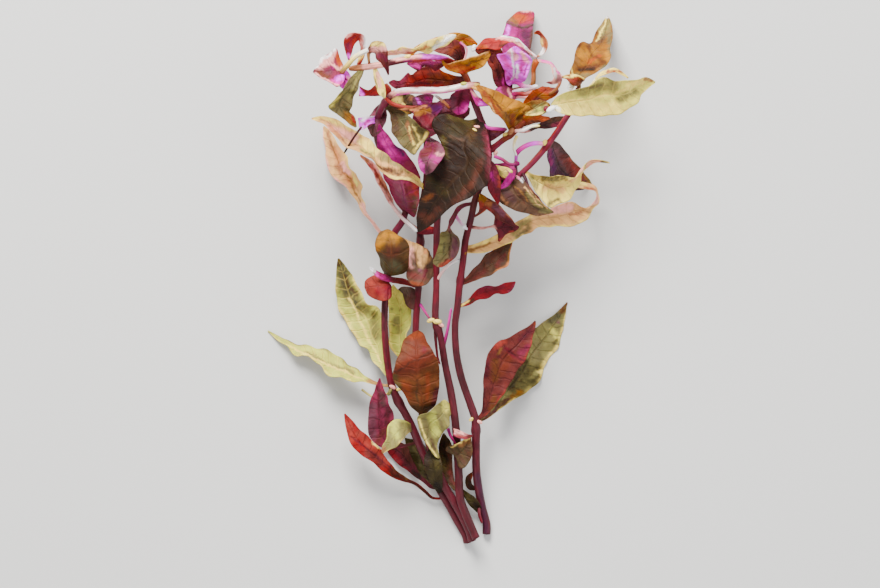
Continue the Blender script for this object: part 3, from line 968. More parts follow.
leaf("leaf_ring_top", stem="stem_top_twig", tone="cream",
     heights=(55, 56, 56, 55, 54), lifts=(0, 4, 8, 9, 6, 0), trough=0.05,
     left=((39.4, 107.9), (43, 107.6), (47.2, 105), (49.4, 100.6), (48.8, 97), (45, 95.6)),
     right=((39.4, 106.5), (42.5, 106.2), (45, 103.6), (45.8, 100), (44.6, 97.9), (42, 96.6)),
     base="blush", strokes=(
         ("pink", 0.8, (40, 107.4), (45, 106.6), (48.6, 102)),
         ("white", 0.8, (46.6, 103.4), (47, 99)),
         ("mauve", 1.0, (47.6, 96.8), (48.6, 100)),
         ("rose", 0.7, (42, 96.2), (45, 96.4))))
leaf("leaf_orange_long_top", stem="stem_right", tone="orange",
     heights=(60, 62, 62, 61, 59), lifts=(0, -3, -6, -6, -3, 0), trough=0.1,
     left=((-10.6, 106), (-8.4, 105.6), (-4, 106.6), (0, 108), (5, 109.2), (10, 111), (14, 112.6)),
     right=((-11.2, 104.8), (-7, 102.9), (-3, 101.4), (2, 101.6), (6, 102.2), (10, 104.2), (13, 107.2),
            (14.6, 111)),
     base="gold", rims=("sand", None), strokes=(
         ("orange", 1.7, (-7, 104), (4, 103.6)),
         ("scarlet", 0.8, (-1, 101.6), (6, 103.4)),
         ("wood", 0.5, (2, 105.4), (11, 108.6)),
         ("sand", 0.6, (-4, 107.4), (5, 109.4), (13, 112))))
leaf("leaf_crimson_lobed", stem="stem_right", tone="red",
     heights=(44, 43, 43, 43, 44), lifts=(0, 1, 2, 3, 1, 0), trough=0.06,
     left=((0, 96.8), (-3, 94.6), (-10, 92.4), (-20, 92), (-28, 92), (-33.4, 94), (-36.4, 96.4)),
     right=((-0.4, 98.8), (-4, 100.4), (-8, 102), (-12, 104), (-18, 105), (-22, 103), (-25, 100.8),
            (-26.6, 102.2), (-28.6, 100), (-31, 97.8), (-34, 98.4), (-36.2, 97.4)),
     base="redwood", strokes=(
         ("rose", 2.8, (-34.4, 96.6), (-31, 97), (-28, 100.4)),
         ("coral", 2.0, (-25, 98), (-19, 99.4)),
         ("salmon", 1.2, (-25, 100.6), (-18, 102.6)),
         ("rust", 2.2, (-15, 98), (-8, 98.4)),
         ("orange", 1.6, (-4, 99.6), (-9, 102)),
         ("salmon", 1.0, (-14, 102), (-9, 103.6)),
         ("scarlet", 1.4, (-27, 95.4), (-10, 94.6)),
         ("wine", 0.6, (-33, 94), (-22, 96), (-10, 97))))
leaf("leaf_white_arch", stem="stem_right", tone="cream",
     heights=(66, 72, 75, 75, 73, 69), lifts=(0, -3, -6, -7, -4, 0), trough=-0.1,
     left=((-40.2, 108), (-39, 110.8), (-36.5, 112.4), (-33, 113), (-30, 114), (-25.5, 113.3),
           (-20, 115.2), (-14, 118), (-10, 119.5), (-5.4, 120.6), (-3, 120.4)),
     right=((-39, 107.6), (-37.8, 109.4), (-35.6, 110.2), (-32, 110.2), (-27, 110.6), (-22, 111.4),
            (-17, 111), (-13, 113), (-9, 114.2), (-5, 117), (-2.6, 119.6)),
     base="cream", strokes=(
         ("khaki", 1.0, (-17, 113.8), (-12, 116.6)),
         ("blush", 1.4, (-37, 111.2), (-30, 112), (-26, 112)),
         ("coral", 1.2, (-27, 110.8), (-21, 111.6)),
         ("salmon", 0.8, (-22, 113), (-17, 115)),
         ("white", 1.4, (-14, 114), (-8.6, 117.4), (-4, 119.6))))
leaf("leaf_golden_arch", stem="stem_right", tone="mustard",
     heights=(63, 62, 58, 54, 52), lifts=(0, -1, -3, -3, 0), trough=-0.08,
     left=((-27, 111.6), (-22, 115.2), (-17, 117.4), (-12, 119.4), (-6, 120.9), (-1, 121.4), (2.4, 121),
           (5.4, 119), (8.2, 116.2)),
     right=((-25.6, 111.2), (-20, 112.6), (-14, 113.6), (-8, 114.6), (-2, 115.2), (3, 115), (7.8, 115.4)),
     base="gold", strokes=(
         ("sand", 0.8, (-23, 114.8), (-14, 118.4)),
         ("tan", 1.2, (-2, 119.4), (4, 118.8)),
         ("orange", 0.8, (0, 118.6), (7, 116.4)),
         ("cream", 0.7, (-8, 115), (0, 116.4))))
leaf("leaf_rolled_left", stem="stem_right", tone="magenta",
     heights=(62, 61, 57, 54), lifts=(0, -8, -12, -10, 0), trough=0.15,
     left=((-58.4, 101.4), (-58.4, 98), (-61, 94.6), (-66, 96.6), (-70, 98.8), (-74.2, 101.8)),
     right=((-58.6, 103.8), (-59.4, 106.4), (-61, 110), (-63.2, 113.6), (-69.2, 109), (-74, 102.6)),
     base="rose", strokes=(
         ("wood", 2.2, (-71.4, 101.6), (-68, 100)),
         ("mauve", 1.6, (-67.4, 103)),
         ("magenta", 1.4, (-65.6, 105.8)),
         ("lilac", 2.0, (-62, 99), (-58.8, 100)),
         ("pink", 1.2, (-60, 96.4), (-64.6, 97.4)),
         ("blush", 1.6, (-71.6, 105), (-68, 108.6), (-64, 111.4)),
         ("orange", 1.6, (-61.6, 109.6), (-60, 106)),
         ("white", 0.5, (-73, 104), (-69.4, 108.6), (-63.6, 113)),
         ("blush", 0.6, (-67, 107.4), (-64, 106.4), (-60.6, 104.4), (-58.4, 103.4)),
         ("blush", 0.5, (-73.6, 101.6), (-66, 96.8), (-61, 95))))
leaf("leaf_petal_loop", stem="stem_right", tone="pink",
     heights=(62, 67, 69, 70, 68, 66), lifts=(0, 3, 5, 5, 4, 0), trough=0.08,
     left=((-52.8, 107), (-51, 110), (-50.4, 114), (-51.2, 118), (-53, 115.6), (-54.8, 111.6),
           (-55.8, 107.8)),
     right=((-51.4, 106.4), (-48.4, 109.6), (-48, 115), (-48.4, 119.4), (-51.4, 121.7), (-55, 121),
            (-58, 118.4), (-58.7, 115), (-57.6, 111), (-56.6, 107.8)),
     base="coral", strokes=(
         ("rose", 1.6, (-56.6, 115), (-56, 112)),
         ("lilac", 1.2, (-56.4, 109.6)),
         ("red", 1.2, (-54.6, 119)),
         ("blush", 0.6, (-57.4, 119), (-53, 121.8), (-50, 121)),
         ("blush", 1.2, (-49.4, 119), (-48.6, 112)),
         ("white", 0.6, (-48.6, 119), (-48.2, 113)),
         ("cream", 1.1, (-52.4, 107.4), (-49.8, 110))))
leaf("leaf_hanging_top_left", stem="stem_right", tone="red",
     heights=(66, 74, 79, 79, 75, 70), lifts=(0, -3, -6, -5, -2, 0), trough=-0.08,
     left=((-46.8, 107.8), (-47.4, 112), (-46, 114.8), (-45, 116.4), (-41.6, 116.9), (-37.8, 116.2),
           (-36.8, 112), (-36.2, 106), (-36, 100.4)),
     right=((-45.6, 107.8), (-45.6, 110.6), (-44, 111.2), (-42.6, 109.4), (-41, 107), (-39.6, 105),
            (-38, 102.8), (-36.8, 100.2)),
     base="redwood", strokes=(
         ("sand", 1.2, (-46.6, 108.6), (-46.8, 112)),
         ("blush", 1.5, (-44, 113), (-38, 113.4)),
         ("rose", 1.2, (-41, 110), (-38, 108)),
         ("cream", 1.1, (-44.6, 115.8), (-38.6, 115.6)),
         ("crimson", 0.9, (-37.2, 104), (-36.6, 101))))
leaf("leaf_olive_hanging", stem="stem_right", tone="olive",
     heights=(63, 66, 65, 62, 59, 57), lifts=(0, 3, 5, 5, 2, 0), trough=0.12,
     left=((-48, 102.6), (-49.4, 100), (-51, 96.6), (-52, 92), (-54, 88), (-55, 84.6), (-55.6, 82),
           (-53.4, 80), (-52.6, 77.2), (-52.2, 74.6)),
     right=((-49.8, 102.8), (-54, 100.6), (-58, 95.5), (-59.5, 92), (-64, 88), (-66.2, 84), (-62.5, 81),
            (-58, 77.8), (-55.5, 75.4), (-53, 74.2)),
     base="drab", strokes=(
         ("olive", 1.5, (-51.6, 98.6), (-54.6, 90)),
         ("khaki", 0.6, (-49.6, 104), (-53, 96), (-56, 88)),
         ("olive", 1.0, (-58, 84.6), (-56, 81)),
         ("khaki", 1.1, (-50, 102), (-53, 100)),
         ("khaki", 1.4, (-57, 91), (-60.6, 91)),
         ("bone", 1.6, (-61.6, 88.4), (-64.4, 85.6)),
         ("mustard", 1.8, (-57.4, 80), (-54, 76.4)),
         ("scarlet", 0.6, (-54.4, 81), (-52.8, 76.6))))

# Small leaves that have no solid of their own
leaf("leaf_olive_curled", stem="stem_centre", tone="olive",
     heights=(19, 20, 19, 17), lifts=(0, 2, 3, 1, 0), trough=-0.2,
     left=((-3.4, -91), (-2, -94.5), (1.2, -96.4), (4.6, -92), (5.4, -86), (4.6, -79.6)),
     right=((-6.6, -89.8), (-8.2, -86.6), (-5.4, -84.8), (-1.6, -83.6), (1.4, -81.6), (4.2, -79.2)),
     base="olive", strokes=(
         ("hazel", 1.4, (-3, -90), (0.6, -93)),
         ("tan", 1.2, (0, -84.6), (3.6, -82.4)),
         ("cream", 0.6, (-5, -86), (-1.6, -84.2), (3.8, -80.6)),
         ("hazel", 1.1, (3.6, -86), (3.4, -91))))
leaf("leaf_lilac_side", stem="stem_right", tone="pink",
     heights=(61, 59, 57), lifts=(0, 2, 1, 0), trough=0.1,
     left=((-58.4, 102), (-56, 101.2), (-54.8, 97.4), (-57.4, 93.2)),
     right=((-59.2, 101), (-61, 98), (-61, 94.8), (-58, 93)),
     base="lilac", strokes=(
         ("pink", 0.8, (-59, 100), (-58, 94)),
         ("blush", 0.8, (-56.4, 99), (-56, 96)),
         ("hotpink", 0.35, (-58.4, 100), (-56.6, 95))))
leaf("leaf_maroon_side", stem="stem_inner_shoot", tone="maroon",
     heights=(45, 45, 46, 50, 53), lifts=(0, 1, 1, 1, 0), trough=0.1,
     left=((21.6, 93.6), (19.4, 98.6), (16.6, 105), (13, 109.4), (8, 111), (6.6, 113)),
     right=((25.4, 93.8), (25.2, 99), (22.6, 105.6), (21, 110.6), (18.6, 115), (12, 115.4), (7, 113.8)),
     base="wine", strokes=(
         ("brick", 2.6, (8.6, 113), (13, 112.6), (18, 113)),
         ("redwood", 2.0, (16.6, 110), (20, 106)),
         ("rose", 1.6, (22.6, 101), (23.6, 95)),
         ("magenta", 0.5, (24.6, 99), (24.6, 94))))
leaf("leaf_rose_crown", stem="stem_inner_shoot", tone="pink",
     heights=(45, 46, 46), lifts=(0, 2, 1, 0), trough=0.1,
     left=((22.6, 95), (17.6, 94.6), (17, 91.6), (20.4, 88), (24, 86.2)),
     right=((24, 95), (27, 92.4), (27, 88.6), (24.6, 86)),
     base="rose", strokes=(
         ("pink", 0.9, (18.6, 93.4), (21, 90)),
         ("blush", 0.6, (23.6, 93), (25, 89)),
         ("wine", 1.0, (21.6, 90), (24, 87.4))))
leaf("leaf_brown_behind", stem="stem_mid_left", tone="brown",
     heights=(17, 9, 6), lifts=(0, 1, 1, 0), trough=0.1,
     left=((-22.4, -7), (-26, -5.2), (-30.4, -5.2), (-31.6, -6.4)),
     right=((-22.2, -12), (-24, -16.8), (-27, -14), (-30, -9), (-31.4, -7)),
     base="cocoa", strokes=(
         ("brown", 1.6, (-23.6, -9), (-26, -14)),
         ("olive", 1.0, (-30, -6.4), (-27, -7))))
leaf("leaf_red_joint", stem="stem_centre", tone="red",
     heights=(28, 26, 23), lifts=(0, 1, 1, 0), trough=0.1,
     left=((-13, 21.4), (-18.6, 20.8), (-22.6, 21.8)),
     right=((-13, 25), (-20.4, 25), (-23, 23.2)),
     base="crimson", strokes=(
         ("coral", 0.9, (-20, 24.4), (-15, 24.4)),
         ("wine", 0.6, (-21, 22), (-15, 21.6))))
leaf("leaf_rose_joint", stem="stem_right", tone="pink",
     heights=(49, 50, 52), lifts=(0, 1, 1, 0), trough=0.1,
     left=((13.6, 73.6), (17.6, 73.4), (22, 73.4)),
     right=((13.4, 66.6), (17.4, 69), (21, 71.6), (22.4, 73)),
     base="wine", strokes=(
         ("mauve", 1.0, (14, 71), (18, 71.6)),
         ("redwood", 0.7, (15, 73.2), (20, 72.8))))
leaf("leaf_red_inner", stem="stem_mid_left", tone="red",
     heights=(40, 41, 41), lifts=(0, 2, 2, 0), trough=0.1,
     left=((-14.6, 86), (-10.6, 81), (-10, 76), (-12.4, 71.6), (-17, 69)),
     right=((-16, 86.4), (-21.6, 83.6), (-24.6, 79.6), (-23, 74), (-19, 69.6), (-17.2, 68.8)),
     base="rose", strokes=(
         ("redwood", 2.2, (-21, 80), (-19, 74)),
         ("coral", 1.4, (-15, 82), (-13, 76)),
         ("wine", 1.2, (-17, 72), (-13, 72)),
         ("salmon", 0.8, (-22, 82), (-17, 84))))
leaf("leaf_rose_mid", stem="stem_right", tone="pink",
     heights=(44, 44, 43), lifts=(0, 2, 2, 0), trough=0.1,
     left=((12.6, 50), (14, 46), (16.4, 41), (19, 38.4), (22, 38)),
     right=((13, 56), (18, 56.6), (24, 56.4), (27.4, 53), (26, 47), (23, 40)),
     base="crimson", rims=(None, "pink"), strokes=(
         ("rose", 2.0, (16, 53), (20, 48)),
         ("salmon", 1.8, (20, 53), (22, 47)),
         ("hotpink", 1.0, (25, 54), (26, 50)),
         ("redwood", 1.8, (18, 43), (20, 40))))
leaf("leaf_salmon_fold", stem="stem_right", tone="red",
     heights=(47, 48, 46), lifts=(0, -3, -3, 0), trough=-0.15,
     left=((8.6, 40.6), (12.6, 39.6), (17, 37), (21, 33.6), (25, 29), (27.4, 25.2)),
     right=((8.4, 38.6), (9.6, 35.6), (13, 33), (17, 29.6), (21, 27), (26, 24.6)),
     base="redwood", rims=("skin", None), strokes=(
         ("peach", 1.7, (9.6, 38.6), (14, 36.4)),
         ("salmon", 1.2, (12, 35), (16, 33)),
         ("mauve", 1.6, (17, 35), (20.6, 31.6)),
         ("maroon", 1.6, (23, 28.6), (26, 26))))
leaf("leaf_rose_low", stem="stem_centre", tone="pink",
     heights=(20, 21, 19), lifts=(0, 2, 1, 0), trough=0.15,
     left=((-7.4, -77.2), (-4, -76.4), (0, -77.4), (3, -79), (5.6, -79.4)),
     right=((-7.2, -78), (-4.6, -79.6), (-1, -81), (3, -81.6), (5.8, -80.2)),
     base="rose", rims=("blush", None), strokes=(
         ("blush", 1.0, (-6, -77.4), (-2, -78), (2, -79)),
         ("salmon", 1.0, (-2, -79.6), (4, -80.4)),
         ("brown", 0.8, (3.4, -80), (5.6, -80.6))))
leaf("leaf_brown_low", stem="stem_right", tone="brown",
     heights=(9, 10, 9), lifts=(0, 2, 1, 0), trough=0.1,
     left=((6.4, -107.6), (3.6, -107.4), (1.8, -104), (2.4, -100.4), (5, -98.4)),
     right=((6.6, -107), (5.4, -105), (4.8, -102.6), (5.6, -100.6), (5.4, -98.2)),
     base="brown", strokes=(
         ("umber", 1.2, (3, -103), (5, -106)),
         ("rust", 0.9, (4.6, -99.4), (6, -102)),
         ("hazel", 0.8, (2.4, -100.6), (2.6, -104))))
leaf("leaf_olive_low", stem="stem_right", tone="olive",
     heights=(7, 9, 10), lifts=(0, 2, 1, 0), trough=0.1,
     left=((10.6, -121), (6.4, -117.4), (3, -113.4), (0.8, -109.4), (0.6, -107.2)),
     right=((11, -120), (9.8, -115), (7.4, -111.6), (4, -109), (1, -107)),
     base="moss", strokes=(
         ("olive", 1.2, (1.4, -108.6), (5, -112)),
         ("umber", 1.0, (6.4, -114), (9.6, -118))))
leaf("leaf_gold_inner", stem="stem_inner_branch", tone="mustard",
     heights=(53, 53, 52), lifts=(0, -2, -3, 0), trough=0.1,
     left=((26, 74.6), (26.6, 79), (29.6, 84), (33.6, 87), (38, 88)),
     right=((27, 74.4), (31, 77.6), (35, 79.6), (41, 82), (44.6, 85.6), (39, 88.4)),
     base="tan", rims=("gold", None), strokes=(
         ("gold", 1.2, (29, 82), (33, 85.6)),
         ("cream", 1.0, (33, 81), (38, 82.6), (42.6, 85)),
         ("khaki", 1.2, (37, 84), (41, 86)),
         ("wood", 0.9, (27.6, 78), (31, 80.6))))
leaf("leaf_red_blob", stem="stem_left", tone="red",
     heights=(26, 27, 25, 23), lifts=(0, -4, -5, -3, 0), trough=-0.15,
     left=((-35.4, -6), (-34.8, -9.4), (-37.4, -12.2), (-42, -11.8), (-46, -10), (-48, -6.6)),
     right=((-36, -3.4), (-37.6, -1), (-41, 0.6), (-45, 0.6), (-47.8, -1.4), (-48.6, -4.8)),
     base="salmon", strokes=(
         ("red", 2.2, (-41, -7.6), (-38, -7)),
         ("crimson", 1.6, (-37.4, -10.4), (-36.4, -7)),
         ("salmon", 1.6, (-45.6, -3.4))))
leaf("leaf_orange_tip", stem="stem_right", tone="orange",
     heights=(44, 47, 48), lifts=(0, -1, -2, 0), trough=0.1,
     left=((7, 29), (8.6, 33), (8.8, 37), (8.8, 41.2)),
     right=((8.4, 28.4), (10.6, 31.8), (13.4, 34.4), (15, 36.8), (12.6, 39.6), (9.8, 41.4)),
     base="salmon", rims=(None, "sand"), strokes=(
         ("gold", 1.7, (9.6, 39.6), (12.6, 37.4)),
         ("cream", 0.7, (8.8, 41)),
         ("redwood", 1.4, (7.6, 30), (9, 33))))
leaf("leaf_magenta_hook", stem="stem_right", tone="pink",
     heights=(52, 53, 52, 50), lifts=(0, 2, 3, 2, 0), trough=0.15,
     left=((27, 55.4), (27.2, 51.8), (25.8, 48), (23.4, 45), (19, 43.4)),
     right=((25.4, 55), (24.2, 52), (22.6, 49.4), (21, 47.2), (18.8, 44.8)),
     base="hotpink", strokes=(
         ("magenta", 1.2, (26.6, 54), (26, 51)),
         ("pink", 1.0, (19.6, 44.4), (22.4, 46.4))))
leaf("leaf_cream_flag", stem="stem_right", tone="cream",
     heights=(50, 51, 51), lifts=(0, 1, 2, 0), trough=0.1,
     left=((17, 53.6), (18.6, 51.6), (20.6, 49.4), (23, 49.4), (25.4, 51.6)),
     right=((16.8, 55), (19, 55.2), (22, 54.6), (24, 53.8), (25.6, 52.6)),
     base="cream", strokes=(
         ("khaki", 0.9, (17, 54), (20, 51)),))
leaf("leaf_olive_inner", stem="stem_left", tone="cream",
     heights=(43, 42, 42, 42), lifts=(0, 1, 2, 1, 0), trough=0.15,
     left=((-36.4, 85), (-33, 82.4), (-28, 80.6), (-23.6, 82), (-21, 85)),
     right=((-36, 87), (-33, 89.8), (-28, 91.2), (-24, 90.6), (-20.8, 87)),
     base="drab", rims=(None, "olive"), strokes=(
         ("cream", 1.6, (-34.6, 87), (-31, 88.6)),
         ("cream", 0.9, (-32, 83), (-27, 81.4)),
         ("moss", 1.5, (-28, 89), (-24, 86)),
         ("skin", 1.0, (-25, 89), (-22, 87))))
leaf("leaf_maroon_inner", stem="stem_mid_left", tone="maroon",
     heights=(41, 41, 41, 41), lifts=(0, 1, 2, 1, 0), trough=0.15,
     left=((-17, 78), (-13, 75.4), (-7, 75), (-1, 77), (4, 81)),
     right=((-17, 80.6), (-14, 86), (-8, 89), (-1, 88.4), (4.4, 84)),
     base="wine", strokes=(
         ("mauve", 1.6, (-12, 85), (-8, 84)),
         ("maroon", 2.4, (-14, 79), (-6, 78)),
         ("rose", 1.2, (-6, 87), (0, 86.4))))
leaf("leaf_mauve_side", stem="stem_left", tone="maroon",
     heights=(35, 37, 38, 37), lifts=(0, 2, 3, 2, 0), trough=0.12,
     left=((-40.4, 87.6), (-43.6, 84), (-46.4, 80), (-47.4, 75.6), (-45.6, 71)),
     right=((-38.6, 86.4), (-37.2, 82), (-38, 77), (-40.6, 72), (-44.4, 69.6)),
     base="mauve", strokes=(
         ("rose", 1.8, (-41, 84), (-43.6, 80)),
         ("cocoa", 1.6, (-45, 76), (-44, 71.6)),
         ("wine", 1.2, (-39.6, 80), (-41, 75))))
leaf("leaf_pink_dark_right", stem="stem_inner_branch", tone="maroon",
     heights=(43, 40, 38, 37), lifts=(0, -2, -2, -1, 0), trough=0.05,
     left=((27.6, 72.6), (33, 73.4), (37.4, 75.4), (40, 77), (44, 79.2), (48.4, 80.2), (53.2, 80.2)),
     right=((27.8, 71.2), (33, 71.9), (38.4, 73.9), (42, 73.9), (46, 74.3), (50, 76), (53.6, 79.2)),
     base="plumgrey", strokes=(
         ("blush", 0.9, (28, 72.4), (33, 72.8)),
         ("rose", 1.2, (46.6, 75.4), (49, 76)),
         ("cocoa", 1.4, (44, 78), (50, 79.4))))
leaf("leaf_pink_curl_left", stem="stem_left", tone="pink",
     heights=(46, 47, 46), lifts=(0, -3, -4, 0), trough=0.15,
     left=((-44.2, 77.4), (-46.4, 75.6), (-48.6, 73.8), (-50.4, 73)),
     right=((-44.4, 81), (-47, 80), (-50, 79.3), (-52, 79.4), (-51.4, 76), (-51, 73.6)),
     base="lilac", strokes=(
         ("white", 0.9, (-44.6, 80.6), (-50.4, 78.4)),
         ("hotpink", 0.7, (-45.6, 77.6), (-49, 76)),
         ("white", 0.8, (-50.8, 74))))
leaf("leaf_crimson_tip", stem="stem_left", tone="magenta",
     heights=(56, 54, 53), lifts=(0, 1, 1, 0), trough=0.1,
     left=((3.6, 92.6), (4.2, 88.6), (4, 85.6), (2, 82), (-1, 80.8)),
     right=((-1, 92), (-5, 90.2), (-6.4, 87), (-6, 84), (-3.6, 81.4), (-1.6, 80.6)),
     base="rose", strokes=(
         ("hotpink", 2.2, (-1, 82.4), (2.4, 85)),
         ("pink", 0.9, (1, 82.6), (3, 84.4)),
         ("mauve", 1.6, (-4.6, 88.6), (-4, 84)),
         ("wine", 1.0, (0, 90), (-1.6, 86))))
leaf("leaf_red_small_top", stem="stem_right_branch", tone="red",
     heights=(52, 54, 53), lifts=(0, -3, -4, 0), trough=0.1,
     left=((60.4, 95.2), (57.6, 94.8), (54.4, 96.2), (52.2, 98.4), (50.4, 98.9)),
     right=((61, 96.4), (62.4, 98.2), (58, 100.4), (54, 101.2), (50.4, 100)),
     base="rust", rims=(None, "cream"), strokes=(
         ("brown", 1.0, (60.6, 97.4)),
         ("salmon", 1.0, (54, 98.6), (57, 97.6)),
         ("cream", 0.6, (51, 100), (58, 100.2))))
leaf("leaf_hook_top", stem="stem_top_twig", tone="cream",
     heights=(55, 54, 53, 52), lifts=(0, 5, 8, 6, 0), trough=0.08,
     left=((38.8, 110), (39.6, 112), (39.8, 114.4), (39.6, 117), (39.4, 119.4), (37.6, 120.8),
           (36.2, 120.8)),
     right=((39.8, 109.4), (41.8, 111.6), (42.6, 114.6), (42, 118), (40.6, 121.2), (38.4, 122.8),
            (36.2, 121.8)),
     base="peach", strokes=(
         ("coral", 1.2, (37.4, 121.8), (40.6, 119.8)),
         ("orange", 1.1, (41.6, 116.6), (41.4, 114)),
         ("white", 0.9, (39.4, 113.6), (40.4, 110.4)),
         ("cream", 0.7, (39, 118), (39.2, 115.4))))
leaf("leaf_cream_hanging", stem="stem_right", tone="cream",
     heights=(60, 61, 62, 63), lifts=(0, 2, 3, 2, 0), trough=0.1,
     left=((-42.6, 103), (-40.6, 100.6), (-38.8, 97), (-37.7, 92), (-38, 88.8)),
     right=((-44, 103), (-43.8, 100), (-42.8, 95), (-41, 91), (-38.7, 88.8)),
     base="cream", strokes=(
         ("blush", 0.9, (-42, 101.4), (-40, 95)),
         ("drab", 0.7, (-43.6, 100), (-42, 94)),
         ("khaki", 0.8, (-39, 91), (-38.4, 89))))
leaf("leaf_red_bend_left", stem="stem_left", tone="red",
     heights=(48, 48, 47), lifts=(0, 1, 1, 0), trough=0.1,
     left=((-36.4, 90.6), (-41, 90.2), (-46, 90), (-51.3, 90)),
     right=((-35.6, 93.6), (-38.4, 96.4), (-42.4, 96), (-46.4, 93), (-51, 95.2)),
     base="scarlet", strokes=(
         ("salmon", 1.6, (-38, 94), (-43, 94)),
         ("crimson", 0.8, (-37, 90.6), (-46, 90.2)),
         ("lilac", 1.0, (-49.6, 91.6), (-51, 94))))
leaf("leaf_magenta_top", stem="stem_right", tone="magenta",
     heights=(50, 50, 51), lifts=(0, -1, -1, 0), trough=0.1,
     left=((-6, 107), (-12, 107.5), (-20, 108.2), (-26.5, 108)),
     right=((-6.5, 106.2), (-10.8, 103.5), (-13, 102.3), (-15, 104), (-19, 104.8), (-22, 102.7),
            (-27.5, 106)),
     base="crimson", strokes=(
         ("pink", 1.0, (-25.6, 105.6), (-21, 104.6)),
         ("magenta", 0.9, (-20, 107), (-10, 107))))
leaf("leaf_purple_crown", stem="stem_mid_left", tone="magenta",
     heights=(46, 47, 47), lifts=(0, 1, 1, 0), trough=0.1,
     left=((-11.4, 86), (-15, 84.6), (-20, 84.4), (-24.4, 85.4)),
     right=((-10.6, 88.4), (-14, 90.8), (-19, 91.2), (-24.6, 89.4)),
     base="mauve", strokes=(
         ("hotpink", 1.2, (-17, 89), (-13, 87)),
         ("magenta", 0.9, (-21, 87), (-18, 86.4)),
         ("lilac", 0.8, (-22.6, 89), (-21, 87))))
leaf("leaf_hot_pink_tip", stem="stem_left", tone="pink",
     heights=(60, 60, 59), lifts=(0, 1, 1, 0), trough=0.1,
     left=((5, 92.5), (9, 89.3), (14, 86.3)),
     right=((4, 91.5), (6, 88), (8, 84.8), (13.5, 85)),
     base="hotpink", strokes=(
         ("lilac", 0.8, (9, 86), (12.6, 85.6)),
         ("blush", 0.6, (5, 92.6), (9, 89.6))))
leaf("leaf_maroon_tip", stem="stem_right", tone="maroon",
     heights=(62, 63, 62), lifts=(0, -2, -2, 0), trough=0.1,
     left=((-1, 106.8), (-4, 108.3), (-7, 109.9), (-14.5, 112.5)),
     right=((1.5, 107.5), (2, 111), (1.2, 115), (-1, 117), (-4, 118), (-8, 115.5), (-14, 113.5)),
     base="redwood", strokes=(
         ("rust", 1.2, (-1, 114), (-6, 112)),
         ("rose", 0.8, (0.6, 116), (1.6, 110))))
leaf("leaf_ribbon_right", stem="stem_right_branch", tone="cream",
     heights=(49, 50, 50, 48), lifts=(0, 1, 2, 1, 0), trough=0.1,
     left=((57, 87.5), (62, 93), (66, 98.5), (69, 101.6), (72, 103), (76, 104.3), (80, 102.4),
           (83.6, 99.3)),
     right=((58, 87), (63, 92), (66, 97), (69, 99.6), (73, 101.3), (76, 102), (79.5, 100.8), (83, 98.8)),
     base="cream", strokes=(
         ("white", 0.7, (58, 89), (66, 98.6)),
         ("salmon", 0.9, (73, 102.6), (79, 102))))
leaf("leaf_cream_inner", stem="stem_inner_branch", tone="cream",
     heights=(57.5, 58.4, 58), lifts=(0, -1, -1, 0), trough=0.1,
     left=((43.5, 82), (40, 80.8), (36, 80), (33, 80.4)),
     right=((43.3, 85), (40, 84.9), (37, 83.4), (33.5, 81.2)),
     base="khaki", strokes=(
         ("cream", 0.9, (34, 80.8), (41, 80.8)),
         ("pale", 1.2, (39, 83.4))))

